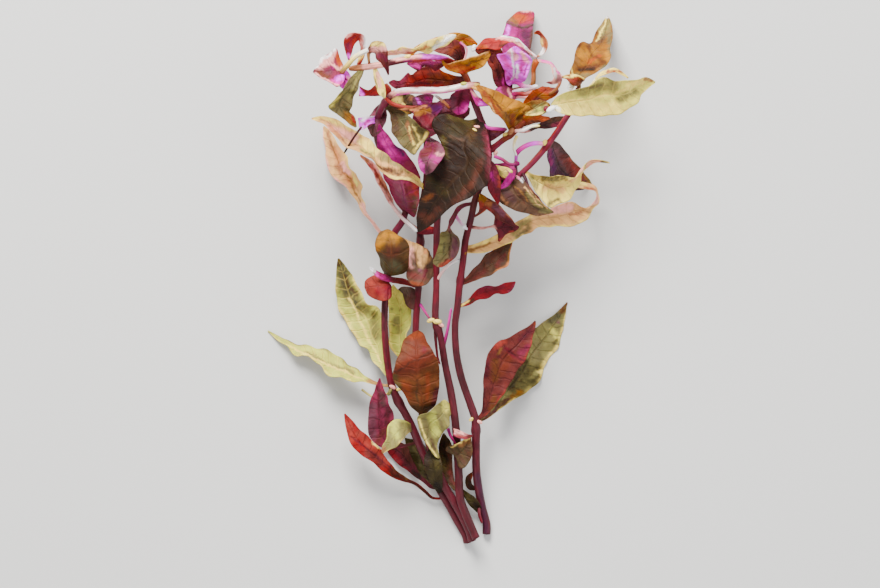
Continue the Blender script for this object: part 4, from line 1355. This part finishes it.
# Thin stalks without a blade: radius at the start and at the end, colours
# from the start to the end, and the path
STALKS = (
    (0.9, 0.5, ("maroon", "crimson"),
     ((-13.2, -24, 25), (-13, -31, 23), (-12, -40, 21), (-10.7, -44, 20.5))),
    (0.9, 0.6, ("crimson", "pink"),
     ((-9.2, -36, 22.5), (-7, -27, 25), (-5.5, -18, 27.5), (-5, -16, 28.5))),
    (0.8, 0.5, ("pink", "crimson"), ((-20.6, -14, 17.8), (-18, -18, 21), (-15.6, -21.6, 23.6))),
    (0.8, 0.6, ("blush", "white"), ((-12.4, -2, 26.2), (-9, 3, 30), (-5, 6.6, 33), (-0.4, 9, 34))),
    (0.9, 0.7, ("pink", "white"), ((-3.2, 31, 40), (-1, 27.6, 42), (1, 25.2, 42.6), (2.8, 23.6, 40.4))),
    (0.8, 0.5, ("blush", "pink"), ((27.4, 50, 42), (29, 48.6, 45), (30.4, 46.6, 47))),
    (1.0, 0.6, ("maroon", "plum"), ((30.4, 52, 42), (32, 48.6, 44.4), (34, 43, 45.6))),
    (1.1, 0.7, ("pink", "white", "blush"),
     ((24.2, 91, 43), (26.4, 92.4, 46), (31, 93.4, 49), (37.6, 94.4, 50))),
    (0.9, 0.6, ("hotpink", "blush"), ((24.6, 88.4, 43), (28, 89.6, 46), (33.6, 89.4, 49))),
    (0.9, 0.9, ("pink", "pink", "crimson"),
     ((11, 75.4, 50.4), (14, 74.1, 53), (18, 73.7, 54.4), (22.6, 73.3, 55))),
    (0.9, 0.6, ("blush", "white", "cream"),
     ((26.8, 72.6, 54), (31, 73, 56), (35, 74.8, 57), (39, 75.1, 57))),
    (1.0, 0.7, ("wine", "crimson"), ((9.4, -114, 5), (9, -119, 6.6), (10.4, -124, 6.4))),
    (0.9, 0.7, ("blush", "peach", "tan"),
     ((49.6, 100.4, 51.4), (49, 96.4, 50.4), (46.8, 93, 48.6), (43.6, 91, 46.8))),
    (0.6, 0.5, ("maroon", "umber"), ((-50, 74.6, 49), (-54, 69, 50.6), (-58.6, 61.6, 47))),
    (0.6, 0.4, ("khaki", "cream"),
     ((-50, -56.7, 13), (-47, -59, 14), (-44, -60.6, 15.6), (-40.4, -60.2, 17), (-36.8, -58.4, 17))),
    (0.9, 0.6, ("rust", "orange"), ((-37.6, 95.8, 46), (-35.6, 93.2, 49), (-37, 90.4, 47))),
    (0.9, 0.5, ("peach", "cream"), ((4.4, 94.8, 61), (8, 93, 62), (12, 90.4, 62), (15.4, 88, 61))),
    (0.8, 0.6, ("cream", "white"), ((27.6, 70, 52), (26.4, 67, 50), (26.2, 63.4, 48), (27.4, 60.4, 46))),
    (0.6, 0.5, ("hotpink", "blush"), ((-0.7, 116.6, 61.2), (2.6, 113, 63), (0.8, 106.2, 62.1))),
    (0.9, 0.5, ("hotpink", "crimson"), ((-6.6, -76.6, 14.6), (-5.4, -80, 17), (-2, -85.4, 16.2))),
    (1.3, 1.1, ("hotpink", "pink", "lilac", "blush"),
     ((27.4, 61.4, 44), (29.4, 63.6, 46), (33.6, 65.9, 46.6), (38, 66.6, 46), (41.8, 66, 45))),
    (0.9, 0.8, ("lilac", "mauve", "plum"),
     ((27.6, 62.6, 43.6), (27.2, 58, 43), (27.2, 54, 42), (28, 49, 41.6))),
    (0.9, 0.8, ("pink", "rose", "magenta"),
     ((16.4, 60, 49.4), (20, 58.6, 50.6), (23.6, 56.2, 51.6), (26.6, 55.8, 52))),
    (1.3, 1.2, ("tan", "cream", "white"),
     ((-59.8, 101.6, 60.8), (-57, 105, 64), (-52.6, 109.6, 66), (-46, 113, 67))),
    (1.5, 1.1, ("lilac", "pink", "white"),
     ((23.4, 96.4, 45), (26, 98.4, 47), (28.6, 96.6, 49), (32, 94.6, 49), (38, 95, 50))),
    (1.4, 1.0, ("hotpink", "coral", "blush"),
     ((25, 90.4, 45), (28, 91.6, 47), (32, 91.2, 48), (36, 92.8, 49))),
    (1.0, 0.8, ("coral", "salmon", "peach"),
     ((-37.6, 88.8, 50), (-34, 86, 51.6), (-27, 84.4, 52), (-20, 84.6, 51), (-11, 86, 49))),
    (0.9, 0.7, ("rust", "peach", "white"), ((-6, 84, 55), (-9.6, 87.6, 55.6), (-13.4, 90.6, 55))),
    (1.1, 0.8, ("white", "blush"),
     ((-22.4, 22.6, 24), (-27, 26.8, 25), (-31.6, 31.4, 25.6), (-36, 38, 25.4))),
)

# Buds and torn leaf ends at the nodes: colour, middle, half sizes, and turn
# in degrees
BUDS = (
    ("cream", (-15.4, -22, 27), (2.0, 1.1, 1.0), 20),
    ("blush", (-10.2, -24.2, 26.6), (1.8, 1.0, 0.9), -35),
    ("cream", (5, -71.6, 17.6), (1.5, 0.9, 0.9), 40),
    ("blush", (9.2, -73, 17.4), (1.5, 0.9, 0.9), -30),
    ("cream", (41.6, 67, 46), (1.6, 1.1, 1.0), 70),
    ("cream", (22, 71, 53), (1.8, 0.9, 0.9), 25),
    ("blush", (17, 61.6, 49.6), (1.5, 1.0, 0.9), 60),
    ("magenta", (27.5, 56.4, 44.4), (1.6, 1.4, 1.2), 0),
    ("white", (44.6, 83.4, 57), (2.6, 1.5, 1.6), 35),
    ("blush", (7, 74.4, 55.2), (2.2, 1.0, 1.2), 5),
    ("cream", (6.6, 72.6, 58.2), (1.7, 1.0, 1.2), -40),
    ("khaki", (-36, -58, 17.4), (2.0, 1.0, 1.0), 65),
    ("cream", (-31.2, -56.6, 17), (1.5, 0.9, 0.9), 10),
    ("pale", (1, 96, 62.4), (1.6, 0.9, 0.9), 10),
    ("mustard", (1.6, 12, 36.4), (1.5, 1.1, 1.0), 80),
    ("cream", (-27, 109.6, 60), (1.8, 1.0, 1.0), 15),
    ("cream", (-32.8, 86.2, 48.8), (1.4, 0.9, 0.8), 30),
    ("cream", (-29, 85.8, 51.2), (1.3, 0.8, 0.8), -40),
    ("olive", (-28.4, 90, 53.8), (1.4, 0.9, 0.9), 80),
    ("white", (1.2, 25, 43), (1.3, 0.9, 0.9), 30),
    ("white", (6, 113.8, 60.4), (1.9, 1.1, 1.0), 70),
    ("white", (55, 95.4, 51.8), (2.8, 1.7, 1.2), 60),
    ("tan", (58.6, 95.2, 46.7), (1.8, 1.1, 1.0), 90),
    ("cream", (-12, -22.6, 27.4), (2.2, 1.3, 1.0), 0),
    ("skin", (24.6, 72.4, 54.6), (2.2, 1.4, 1.2), 50),
    ("blush", (-34.6, -55.4, 17.6), (1.8, 1.0, 0.9), -30),
)


def linear(name):
    """A colour of the palette as linear red, green and blue, by the sRGB curve."""
    code = PALETTE[name]
    parts = np.array([int(code[i:i + 2], 16) / 255 for i in (0, 2, 4)])
    return np.where(parts <= 0.04045, parts / 12.92, ((parts + 0.055) / 1.055) ** 2.4)


def smooth_curve(points):
    """Sample a Catmull-Rom curve through the points (any dimension) finely, as an array."""
    points = [tuple(map(float, p)) for p in points]
    if len(points) < 3:
        return np.array(points)
    fine = []
    last = len(points) - 1
    for i in range(last):
        before, start = points[max(i - 1, 0)], points[i]
        end, after = points[i + 1], points[min(i + 2, last)]
        for t in (k / CURVE_STEPS for k in range(CURVE_STEPS)):
            fine.append([0.5 * (2 * b + (c - a) * t + (2 * a - 5 * b + 4 * c - d) * t * t
                                + (3 * b - a - 3 * c + d) * t ** 3)
                         for a, b, c, d in zip(before, start, end, after)])
    fine.append(points[last])
    return np.array(fine)


def running_length(points):
    """Length along the points up to each of them."""
    return np.concatenate([[0.0], np.cumsum(np.linalg.norm(np.diff(points, axis=0), axis=1))])


def points_at(points, shares):
    """Points at shares of the whole length."""
    lengths = running_length(points)
    return np.stack([np.interp(shares * lengths[-1], lengths, points[:, k])
                     for k in range(points.shape[1])], axis=1)


def values_at(values, shares):
    """Read a smooth curve through evenly spaced values."""
    curve = smooth_curve([(v,) for v in values])[:, 0]
    return np.interp(shares, np.linspace(0, 1, len(curve)), curve)


def unit(vectors):
    """Each vector at length one."""
    return vectors / np.maximum(np.linalg.norm(vectors, axis=-1, keepdims=True), TINY)


def smoothstep(low, high, x):
    """0 below low, 1 above high and a soft step between them."""
    t = np.clip((x - low) / (high - low), 0.0, 1.0)
    return t * t * (3 - 2 * t)


def noise_at(points, scale, seed):
    """Smooth noise between -1 and 1 at each point."""
    shift = Vector([step * seed for step in NOISE_STEPS])
    values = [noise.noise(Vector(p) * scale + shift) for p in points.reshape(-1, 3)]
    return np.array(values).reshape(points.shape[:-1])


def layered_noise(points, layers, seed=0):
    """The sum of some layers of noise. Each is a scale, a seed of its own and a share."""
    return sum(share * noise_at(points, scale, seed + own) for scale, own, share in layers)


def distance_to_path(points, path):
    """Distance in plan from each point to a path of one or more points."""
    path = np.array(path, float)
    if len(path) == 1:
        return np.linalg.norm(points - path[0], axis=-1)
    best = np.full(points.shape[:-1], np.inf)
    for a, b in zip(path, path[1:]):
        run = b - a
        t = np.clip(((points - a) @ run) / (run @ run), 0.0, 1.0)
        best = np.minimum(best, np.linalg.norm(points - (a + t[..., None] * run), axis=-1))
    return best


def mixed_in(colours, name, weight):
    """The colours with a share of one palette colour mixed in."""
    return colours + weight[..., None] * (linear(name) - colours)


def painted(points, base, strokes, rims=(None, None), side=None):
    """Colours of a surface: its base, its broken rims, then its strokes in their order."""
    colours = np.broadcast_to(linear(base), points.shape)
    wander = [layered_noise(points, layers) for layers in (BRUSH_WANDER_X, BRUSH_WANDER_Y)]
    plan = points[..., :2] + BRUSH_WANDER * np.stack(wander, axis=-1)
    fray = BRUSH_FRAY * layered_noise(points, BRUSH_FRAYS)
    cover = BRUSH_COVER + (1 - BRUSH_COVER) * (0.5 + layered_noise(points, BRUSH_DRYNESS))
    for edge, name in zip((-1, 1), rims):
        if name:
            unbroken = smoothstep(*RIM_BREAKS, layered_noise(points, RIM_BREAK_NOISE))
            weight = smoothstep(*RIM_SPAN, side * edge + RIM_FRAY * fray)
            colours = mixed_in(colours, name, weight * unbroken)
    for name, reach, *path in strokes:
        distance = distance_to_path(plan, path) + fray * min(1, reach)
        weight = 1 - smoothstep(BRUSH_CORE * reach, BRUSH_EDGE * reach, distance)
        colours = mixed_in(colours, name, weight * cover)
    return colours


def mesh_object(name, points, faces, colours, coords, slot):
    """A smooth mesh object from millimetre points, with its tint and its leaf coordinates."""
    mesh = bpy.data.meshes.new(name)
    mesh.from_pydata([tuple(p) for p in points * MM], [], faces)
    mesh.shade_smooth()
    tint = mesh.color_attributes.new("tint", "FLOAT_COLOR", "POINT")
    tint.data.foreach_set("color", np.hstack([colours, np.ones((len(colours), 1))]).ravel())
    corners = np.zeros(len(mesh.loops), np.int32)
    mesh.loops.foreach_get("vertex_index", corners)
    layer = mesh.uv_layers.new(name="leaf")
    layer.data.foreach_set("uv", coords[corners].ravel())
    mesh.materials.append(LOOKS[slot])
    thing = bpy.data.objects.new(name, mesh)
    bpy.context.scene.collection.objects.link(thing)
    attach(thing, "root")
    return thing


def nearest_on_stem(name, x, y):
    """The stem's axis point nearest in plan to (x, y), and the axis direction there."""
    axis = STEM_AXES[name]
    near = int(np.argmin(np.hypot(axis[:, 0] - x, axis[:, 1] - y)))
    return axis[near], unit(axis[min(near + 1, len(axis) - 1)] - axis[max(near - 1, 0)])


def leaf_frame(form):
    """A leaf's centre line, the vectors from its left to its right edge, shares and length."""
    left, right = smooth_curve(form["left"]), smooth_curve(form["right"])
    length = 0.5 * (running_length(left)[-1] + running_length(right)[-1])
    shares = np.linspace(0, 1, int(np.clip(round(length / ALONG_STEP), *ALONG_COUNTS)) + 1)
    left, right = points_at(left, shares), points_at(right, shares)
    axis_point, along = nearest_on_stem(form["stem"], *(0.5 * (left[0] + right[0])))
    height = values_at((axis_point[2], *form["heights"]), shares)
    lift = values_at(form["lifts"], shares)
    low = np.column_stack([left, height - lift / 2])
    high = np.column_stack([right, height + lift / 2])
    centre, across = 0.5 * (low + high), high - low
    width = np.linalg.norm(across, axis=1)
    across *= (np.maximum(width, SMALLEST_WIDTH) / np.maximum(width, TINY))[:, None]
    # The first few millimetres bend over to the axis of the stem
    start = axis_point + along * ((centre[0] - axis_point) @ along)
    rooted = np.clip(1 - shares * length / ROOT_LENGTH, 0, 1) ** ROOT_POWER
    centre += rooted[:, None] * (start - centre[0])
    for _ in range(SMOOTHING_ROUNDS):
        centre[1:-1] = 0.25 * centre[:-2] + 0.5 * centre[1:-1] + 0.25 * centre[2:]
    return centre, across, shares, length


def edge_waves(side, shares, length, seed):
    """Waves along a leaf. Its left and right edges have waves of their own."""
    turn = 2 * math.pi * shares * length / RIPPLE_LENGTH
    left = np.sin(LEFT_PACE * turn + seed)
    right = np.sin(RIGHT_PACE * turn + RIGHT_SHIFT * seed)
    return np.where(side[None, :] < 0, left[:, None], right[:, None])


def leaf_relief(form, flat, width, side, shares, length, seed):
    """How far a leaf stands off the flat blade: its trough, its edge ripples and its crumples."""
    off_rib = np.abs(side)[None, :]
    trough = form["trough"] * width[:, None] * (1 - off_rib ** TROUGH_POWER)
    unrest = smoothstep(*RIPPLE_START, shares) * (1 - TIP_CALM * smoothstep(*RIPPLE_END, shares))
    unrest = unrest * np.clip(width / FULL_RIPPLE_WIDTH, LEAST_RIPPLE, 1.0)
    ripple = RIPPLE_HEIGHT * edge_waves(side, shares, length, seed) * off_rib ** RIPPLE_POWER
    crumple = CRUMPLE_HEIGHT * layered_noise(flat, CRUMPLES, seed)
    return unrest[:, None] * (ripple + crumple) - trough


def leaf_thickness(width, side, shares):
    """Thickness of a blade with a midrib that fades to the tip, after a rounded stalk."""
    off_rib = side[None, :] * np.maximum(width, RIB_LEAST_WIDTH)[:, None] / 2
    rib = np.exp(-(off_rib / RIB_REACH) ** 2) * (1 - RIB_FADE * shares[:, None])
    blade = BLADE_THICKNESS + (RIB_THICKNESS - BLADE_THICKNESS) * rib
    stalk = STALK_THICKNESS * np.sqrt(np.clip(1 - side ** 2, STALK_EDGE, 1))[None, :]
    return blade + np.clip(1 - shares / STALK_SHARE, 0, 1)[:, None] * (stalk - blade)


def shell_faces(rows, columns):
    """Faces of a closed shell. Its upper sheet and then its under sheet are rows by columns points."""
    grid = np.arange(rows * columns).reshape(rows, columns)
    upper = np.stack([grid[:-1, :-1], grid[:-1, 1:], grid[1:, 1:], grid[1:, :-1]], axis=-1).reshape(-1, 4)
    faces = [upper, upper[:, ::-1] + grid.size]
    # Walls round the border. The turn of their corners settles how each face is split in two
    for line, turn in ((grid[0], 0), (grid[:, -1], 1), (grid[-1, ::-1], 0), (grid[::-1, 0], 1)):
        here, ahead = line[:-1], line[1:]
        wall = np.stack([here, here + grid.size, ahead + grid.size, ahead], axis=-1)
        faces.append(np.roll(wall, turn, axis=1))
    return np.concatenate(faces).tolist()


def build_leaf(name, form, seed):
    """A thin closed leaf with a trough, rippled edges, a midrib and a rounded stalk."""
    centre, across, shares, length = leaf_frame(form)
    width = np.linalg.norm(across, axis=1)
    columns = int(np.clip(2 * round(width.max() / ACROSS_STEP / 2), *ACROSS_COUNTS)) + 1
    side = np.linspace(-1, 1, columns)
    flat = centre[:, None] + 0.5 * across[:, None] * side[None, :, None]
    normal = unit(np.cross(across, np.gradient(centre, axis=0)))[:, None]
    middle = flat + normal * leaf_relief(form, flat, width, side, shares, length, seed)[..., None]
    thick = normal * leaf_thickness(width, side, shares)[..., None]
    upper = (middle + UPPER_SHARE * thick).reshape(-1, 3)
    under = (middle - (1 - UPPER_SHARE) * thick).reshape(-1, 3)
    upper[:, 2] = np.maximum(upper[:, 2], LOWEST + BLADE_THICKNESS)
    under[:, 2] = np.maximum(under[:, 2], LOWEST)
    colours = painted(flat, form["base"], form["strokes"], form["rims"], side).reshape(-1, 3)
    under_colours = mixed_in(colours, UNDER_TONE, np.full(len(colours), UNDER_SHARE))
    coords = np.broadcast_arrays(shares[:, None] * length / MM_PER_CM, side[None, :])
    coords = np.stack(coords, axis=-1).reshape(-1, 2)
    return mesh_object(name, np.concatenate([upper, under]), shell_faces(len(shares), columns),
                       np.concatenate([colours, under_colours]), np.concatenate([coords, coords]),
                       form["tone"])


def tube(axis, radii, sides):
    """Rings round a path, closed at both ends with a rounded cap.

    Returns its points, its faces and their leaf coordinates.
    """
    along = unit(np.gradient(axis, axis=0))
    across = unit(np.cross(along, np.array([0.0, 0.0, 1.0])))
    up = np.cross(across, along)
    turns = np.linspace(0, 2 * math.pi, sides, endpoint=False)
    ring = np.cos(turns)[None, :, None] * across[:, None] + np.sin(turns)[None, :, None] * up[:, None]
    points = (axis[:, None] + radii[:, None, None] * ring).reshape(-1, 3)
    points = np.vstack([points, axis[0] - along[0] * radii[0] * BASE_CAP,
                        axis[-1] + along[-1] * radii[-1] * TOP_CAP])
    base_tip, top_tip = len(points) - 2, len(points) - 1
    top = (len(axis) - 1) * sides
    faces = []
    for j in range(sides):
        k = (j + 1) % sides
        for start in range(0, top, sides):
            faces.append((start + j, start + sides + j, start + sides + k, start + k))
        faces.append((base_tip, j, k))
        faces.append((top_tip, top + k, top + j))
    lengths = running_length(axis)[:, None] / MM_PER_CM
    coords = np.stack(np.broadcast_arrays(lengths, turns[None, :] / math.pi - 1), axis=-1)
    coords = np.vstack([coords.reshape(-1, 2), coords[0, :1], coords[-1, :1]])
    return points, faces, coords


def above_floor(points):
    """The points, with those below the floor lifted onto it."""
    return np.column_stack([points[:, :2], np.maximum(points[:, 2], 0)])


def build_stem(name, form, seed):
    """A stem with swollen nodes and a slightly uneven thickness."""
    axis = STEM_AXES[name]
    length = running_length(axis)[-1]
    shares = np.linspace(0, 1, max(FEWEST_STEM_STEPS, int(length / STEM_STEP)) + 1)
    line = points_at(axis, shares)
    swell = sum(np.exp(-((shares - n) * length / NODE_REACH) ** 2) for n in form["nodes"])
    radii = form["radius"] + NODE_SWELL * np.clip(swell, 0, 1)
    radii += STEM_UNEVENNESS * noise_at(line, STEM_NOISE_SCALE, seed)
    radii += LOW_SWELL * smoothstep(*LOW_SWELL_SPAN, -line[:, 1])
    if form["grows_from"]:
        radii[:len(SHOOT_FLARE)] *= SHOOT_FLARE
    else:
        radii[-len(STEM_TAPER):] *= STEM_TAPER
    points, faces, coords = tube(line, radii, STEM_SIDES)
    points = above_floor(points)
    colours = painted(points, form["base"], form["strokes"])
    return mesh_object(name, points, faces, colours, coords, "stem")


def build_stalk(name, radius, end_radius, colour_names, path):
    """A thin stalk whose colour changes from its start to its end."""
    shares = np.linspace(0, 1, STALK_RINGS)
    radii = radius + (end_radius - radius) * shares
    radii[-len(STALK_TAPER):] *= STALK_TAPER
    points, faces, coords = tube(points_at(smooth_curve(path), shares), radii, THIN_SIDES)
    stops = np.array([linear(n) for n in colour_names])
    places = np.append(np.repeat(shares, THIN_SIDES), [0, 1]) * (len(stops) - 1)
    colours = np.stack([np.interp(places, range(len(stops)), stops[:, k]) for k in range(3)], axis=1)
    return mesh_object(name, above_floor(points), faces, colours, coords, "stem")


def build_bud(name, colour_name, middle, half_sizes, turn):
    """A small pointed bud."""
    steps = np.linspace(0, math.pi, BUD_RINGS)
    line = np.outer(-np.cos(steps), (half_sizes[0], 0, 0))
    points, faces, coords = tube(line, np.maximum(np.sin(steps) ** BUD_FULLNESS, BUD_TIP), THIN_SIDES)
    points = points * (1, *half_sizes[1:])
    spin = np.array(Matrix.Rotation(math.radians(turn), 3, "Z"))
    points = points @ spin.T + middle
    return mesh_object(name, points, faces, painted(points, colour_name, ()), coords, "cream")


def math_node(tree, operation, a, b=None):
    """A maths node whose inputs are sockets or numbers."""
    made = tree.nodes.new("ShaderNodeMath")
    made.operation = operation
    for socket, value in zip(made.inputs, (a, b)):
        if isinstance(value, (int, float)):
            socket.default_value = value
        elif value is not None:
            tree.links.new(value, socket)
    return made.outputs[0]


def plus(tree, a, b):
    """The sum of two sockets or numbers."""
    return math_node(tree, "ADD", a, b)


def times(tree, a, b):
    """The product of two sockets or numbers."""
    return math_node(tree, "MULTIPLY", a, b)


def mix_colour(tree, blend, factor, a, b):
    """Mix two colours. The factor, a and b are sockets or constants."""
    made = tree.nodes.new("ShaderNodeMix")
    made.data_type = "RGBA"
    made.blend_type = blend
    factor_input, a_input, b_input = made.inputs[0], made.inputs[6], made.inputs[7]
    for socket, value in ((factor_input, factor), (a_input, a), (b_input, b)):
        if isinstance(value, (int, float, tuple)):
            socket.default_value = value
        else:
            tree.links.new(value, socket)
    return made.outputs[2]


def noise_node(tree, where, scale, detail=NOISE_DETAIL):
    """Noise at the place that a socket gives."""
    made = tree.nodes.new("ShaderNodeTexNoise")
    made.inputs["Scale"].default_value = scale
    made.inputs["Detail"].default_value = detail
    tree.links.new(where, made.inputs["Vector"])
    return made.outputs["Fac"]


def ramp_node(tree, factor, low, high):
    """A soft step of a value from low to high."""
    made = tree.nodes.new("ShaderNodeMapRange")
    made.interpolation_type = "SMOOTHSTEP"
    made.inputs["From Min"].default_value = low
    made.inputs["From Max"].default_value = high
    tree.links.new(factor, made.inputs["Value"])
    return made.outputs["Result"]


def object_place(tree):
    """The place on the object, in metres."""
    return tree.nodes.new("ShaderNodeTexCoord").outputs["Object"]


def leaf_place(tree):
    """The leaf coordinates: centimetres along a piece, and -1 to 1 across or round it."""
    made = tree.nodes.new("ShaderNodeUVMap")
    made.uv_map = "leaf"
    return made.outputs["UV"]


def painted_tint(tree):
    """The painted colour of a piece."""
    made = tree.nodes.new("ShaderNodeAttribute")
    made.attribute_name = "tint"
    return made.outputs["Color"]


def new_look(name):
    """A new material and its node tree."""
    look = bpy.data.materials.new(name)
    look.use_nodes = True
    return look, look.node_tree


def finish_plant(tree, colour, relief, roughness, finish):
    """Give the shader its colour, its relief and a soft fleshy finish."""
    shader = tree.nodes["Principled BSDF"]
    bump = tree.nodes.new("ShaderNodeBump")
    bump.inputs["Strength"].default_value = finish["relief_strength"]
    bump.inputs["Distance"].default_value = finish["relief_depth"]
    tree.links.new(relief, bump.inputs["Height"])
    tree.links.new(bump.outputs["Normal"], shader.inputs["Normal"])
    tree.links.new(colour, shader.inputs["Base Color"])
    shader.inputs["Roughness"].default_value = roughness
    shader.inputs["Specular IOR Level"].default_value = finish["gloss"]
    shader.inputs["Subsurface Weight"].default_value = SCATTER_SHARE
    shader.inputs["Subsurface Radius"].default_value = finish["scatter_tone"]
    shader.inputs["Subsurface Scale"].default_value = finish["scatter_depth"]


def leaf_veins(tree):
    """1 on the midrib, a little less on the bent side veins, and 0 between them."""
    split = tree.nodes.new("ShaderNodeSeparateXYZ")
    tree.links.new(leaf_place(tree), split.inputs["Vector"])
    off_rib = math_node(tree, "ABSOLUTE", split.outputs["Y"])
    bend = times(tree, noise_node(tree, object_place(tree), VEIN_BEND_SCALE), VEIN_BEND)
    along = times(tree, split.outputs["X"], VEIN_PACE)
    slanted = math_node(tree, "SUBTRACT", along, times(tree, off_rib, VEIN_SLANT))
    crest = math_node(tree, "SINE", plus(tree, slanted, bend))
    side_veins = times(tree, ramp_node(tree, crest, *VEIN_CREST), VEIN_WEIGHT)
    return math_node(tree, "MAXIMUM", side_veins, ramp_node(tree, off_rib, *MIDRIB_EDGE))


def leaf_look(name, vein, vein_share, roughness, mottle):
    """A thin leaf: its painted tint, its veins and its mottling."""
    look, tree = new_look("look_" + name)
    veins = leaf_veins(tree)
    patches = noise_node(tree, object_place(tree), PATCH_SCALE, PATCH_DETAIL)
    grain = noise_node(tree, object_place(tree), GRAIN_SCALE)
    mottled = times(tree, ramp_node(tree, patches, *PATCH_SPAN), mottle)
    shade = plus(tree, mottled, 1.0 - MOTTLE_LOSS * mottle)
    toned = mix_colour(tree, "MULTIPLY", 1.0, painted_tint(tree), shade)
    veined = mix_colour(tree, "MIX", times(tree, veins, vein_share), toned, (*linear(vein), 1.0))
    fine = plus(tree, times(tree, patches, PATCH_RELIEF), times(tree, grain, GRAIN_RELIEF))
    relief = plus(tree, times(tree, veins, VEIN_RELIEF), fine)
    finish_plant(tree, veined, relief, roughness, LEAF_FINISH)
    return look


def stem_look():
    """A smooth fleshy stem with fine lengthwise streaks."""
    look, tree = new_look("look_stem")
    stretch = tree.nodes.new("ShaderNodeMapping")
    stretch.inputs["Scale"].default_value = STREAK_STRETCH
    tree.links.new(leaf_place(tree), stretch.inputs["Vector"])
    streaks = noise_node(tree, stretch.outputs["Vector"], STREAK_SCALE, STREAK_DETAIL)
    streaked = times(tree, ramp_node(tree, streaks, *STREAK_SPAN), STREAK_CONTRAST)
    shade = plus(tree, streaked, STREAK_SHADE)
    toned = mix_colour(tree, "MULTIPLY", 1.0, painted_tint(tree), shade)
    finish_plant(tree, toned, streaks, STEM_ROUGHNESS, STEM_FINISH)
    return look


def floor_look():
    """A plain pale matte surface with a faint unevenness of tone."""
    look, tree = new_look("floor")
    shader = tree.nodes["Principled BSDF"]
    cloud = ramp_node(tree, noise_node(tree, object_place(tree), FLOOR_CLOUD_SCALE), *FLOOR_CLOUD_SPAN)
    tree.links.new(mix_colour(tree, "MIX", cloud, *FLOOR_TONES), shader.inputs["Base Color"])
    shader.inputs["Roughness"].default_value = FLOOR_ROUGHNESS
    return look


def build_floor():
    """A square floor under the plant."""
    mesh = bpy.data.meshes.new("floor")
    corners = [(x * FLOOR_REACH, y * FLOOR_REACH, 0) for x, y in ((-1, -1), (1, -1), (1, 1), (-1, 1))]
    mesh.from_pydata(corners, [], [(0, 1, 2, 3)])
    mesh.materials.append(floor_look())
    floor = bpy.data.objects.new("floor", mesh)
    bpy.context.scene.collection.objects.link(floor)
    return floor


def build_lamp(name, place, size, power, tone):
    """A soft square lamp that points at the middle of the plant."""
    data = bpy.data.lights.new(name, "AREA")
    data.size = size
    data.energy = power
    data.color = tone
    lamp = bpy.data.objects.new(name, data)
    lamp.location = place
    lamp.rotation_euler = (Vector(LAMP_TARGET) - Vector(place)).to_track_quat("-Z", "Y").to_euler()
    bpy.context.scene.collection.objects.link(lamp)
    return lamp


def set_sky():
    """An even pale light from all round."""
    world = bpy.data.worlds.new("studio")
    bpy.context.scene.world = world
    world.use_nodes = True
    sky = world.node_tree.nodes["Background"]
    sky.inputs["Color"].default_value = (*SKY_TONE, 1.0)
    sky.inputs["Strength"].default_value = SKY_POWER


def set_camera():
    """A distant camera that looks straight down, at the photograph's scale."""
    data = bpy.data.cameras.new("camera")
    data.sensor_width = SENSOR
    data.lens = SENSOR * CAMERA_DISTANCE / PICTURE_WIDTH
    data.clip_end = CAMERA_REACH
    camera = bpy.data.objects.new("camera", data)
    camera.location = (*PICTURE_CENTRE, CAMERA_DISTANCE + PICTURE_PLANE)
    bpy.context.scene.collection.objects.link(camera)
    bpy.context.scene.camera = camera


LOOKS = {tone: leaf_look(tone, *values) for tone, values in LEAF_TONES.items()}
LOOKS["stem"] = stem_look()
STEM_AXES = {name: smooth_curve(form["path"]) for name, form in STEMS.items()}

pieces = {}
for seed, (name, form) in enumerate(STEMS.items(), 1):
    pieces[name] = build_stem(name, form, seed)
for seed, (name, form) in enumerate(LEAVES.items(), 1):
    pieces[name] = build_leaf(name, form, seed)
for name, thing in pieces.items():
    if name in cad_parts:
        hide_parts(name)
for number, entry in enumerate(STALKS, 1):
    build_stalk("stalk_%02d" % number, *entry)
for number, entry in enumerate(BUDS, 1):
    build_bud("bud_%02d" % number, *entry)

build_floor()
for entry in LAMPS:
    build_lamp(*entry)
set_sky()
set_camera()
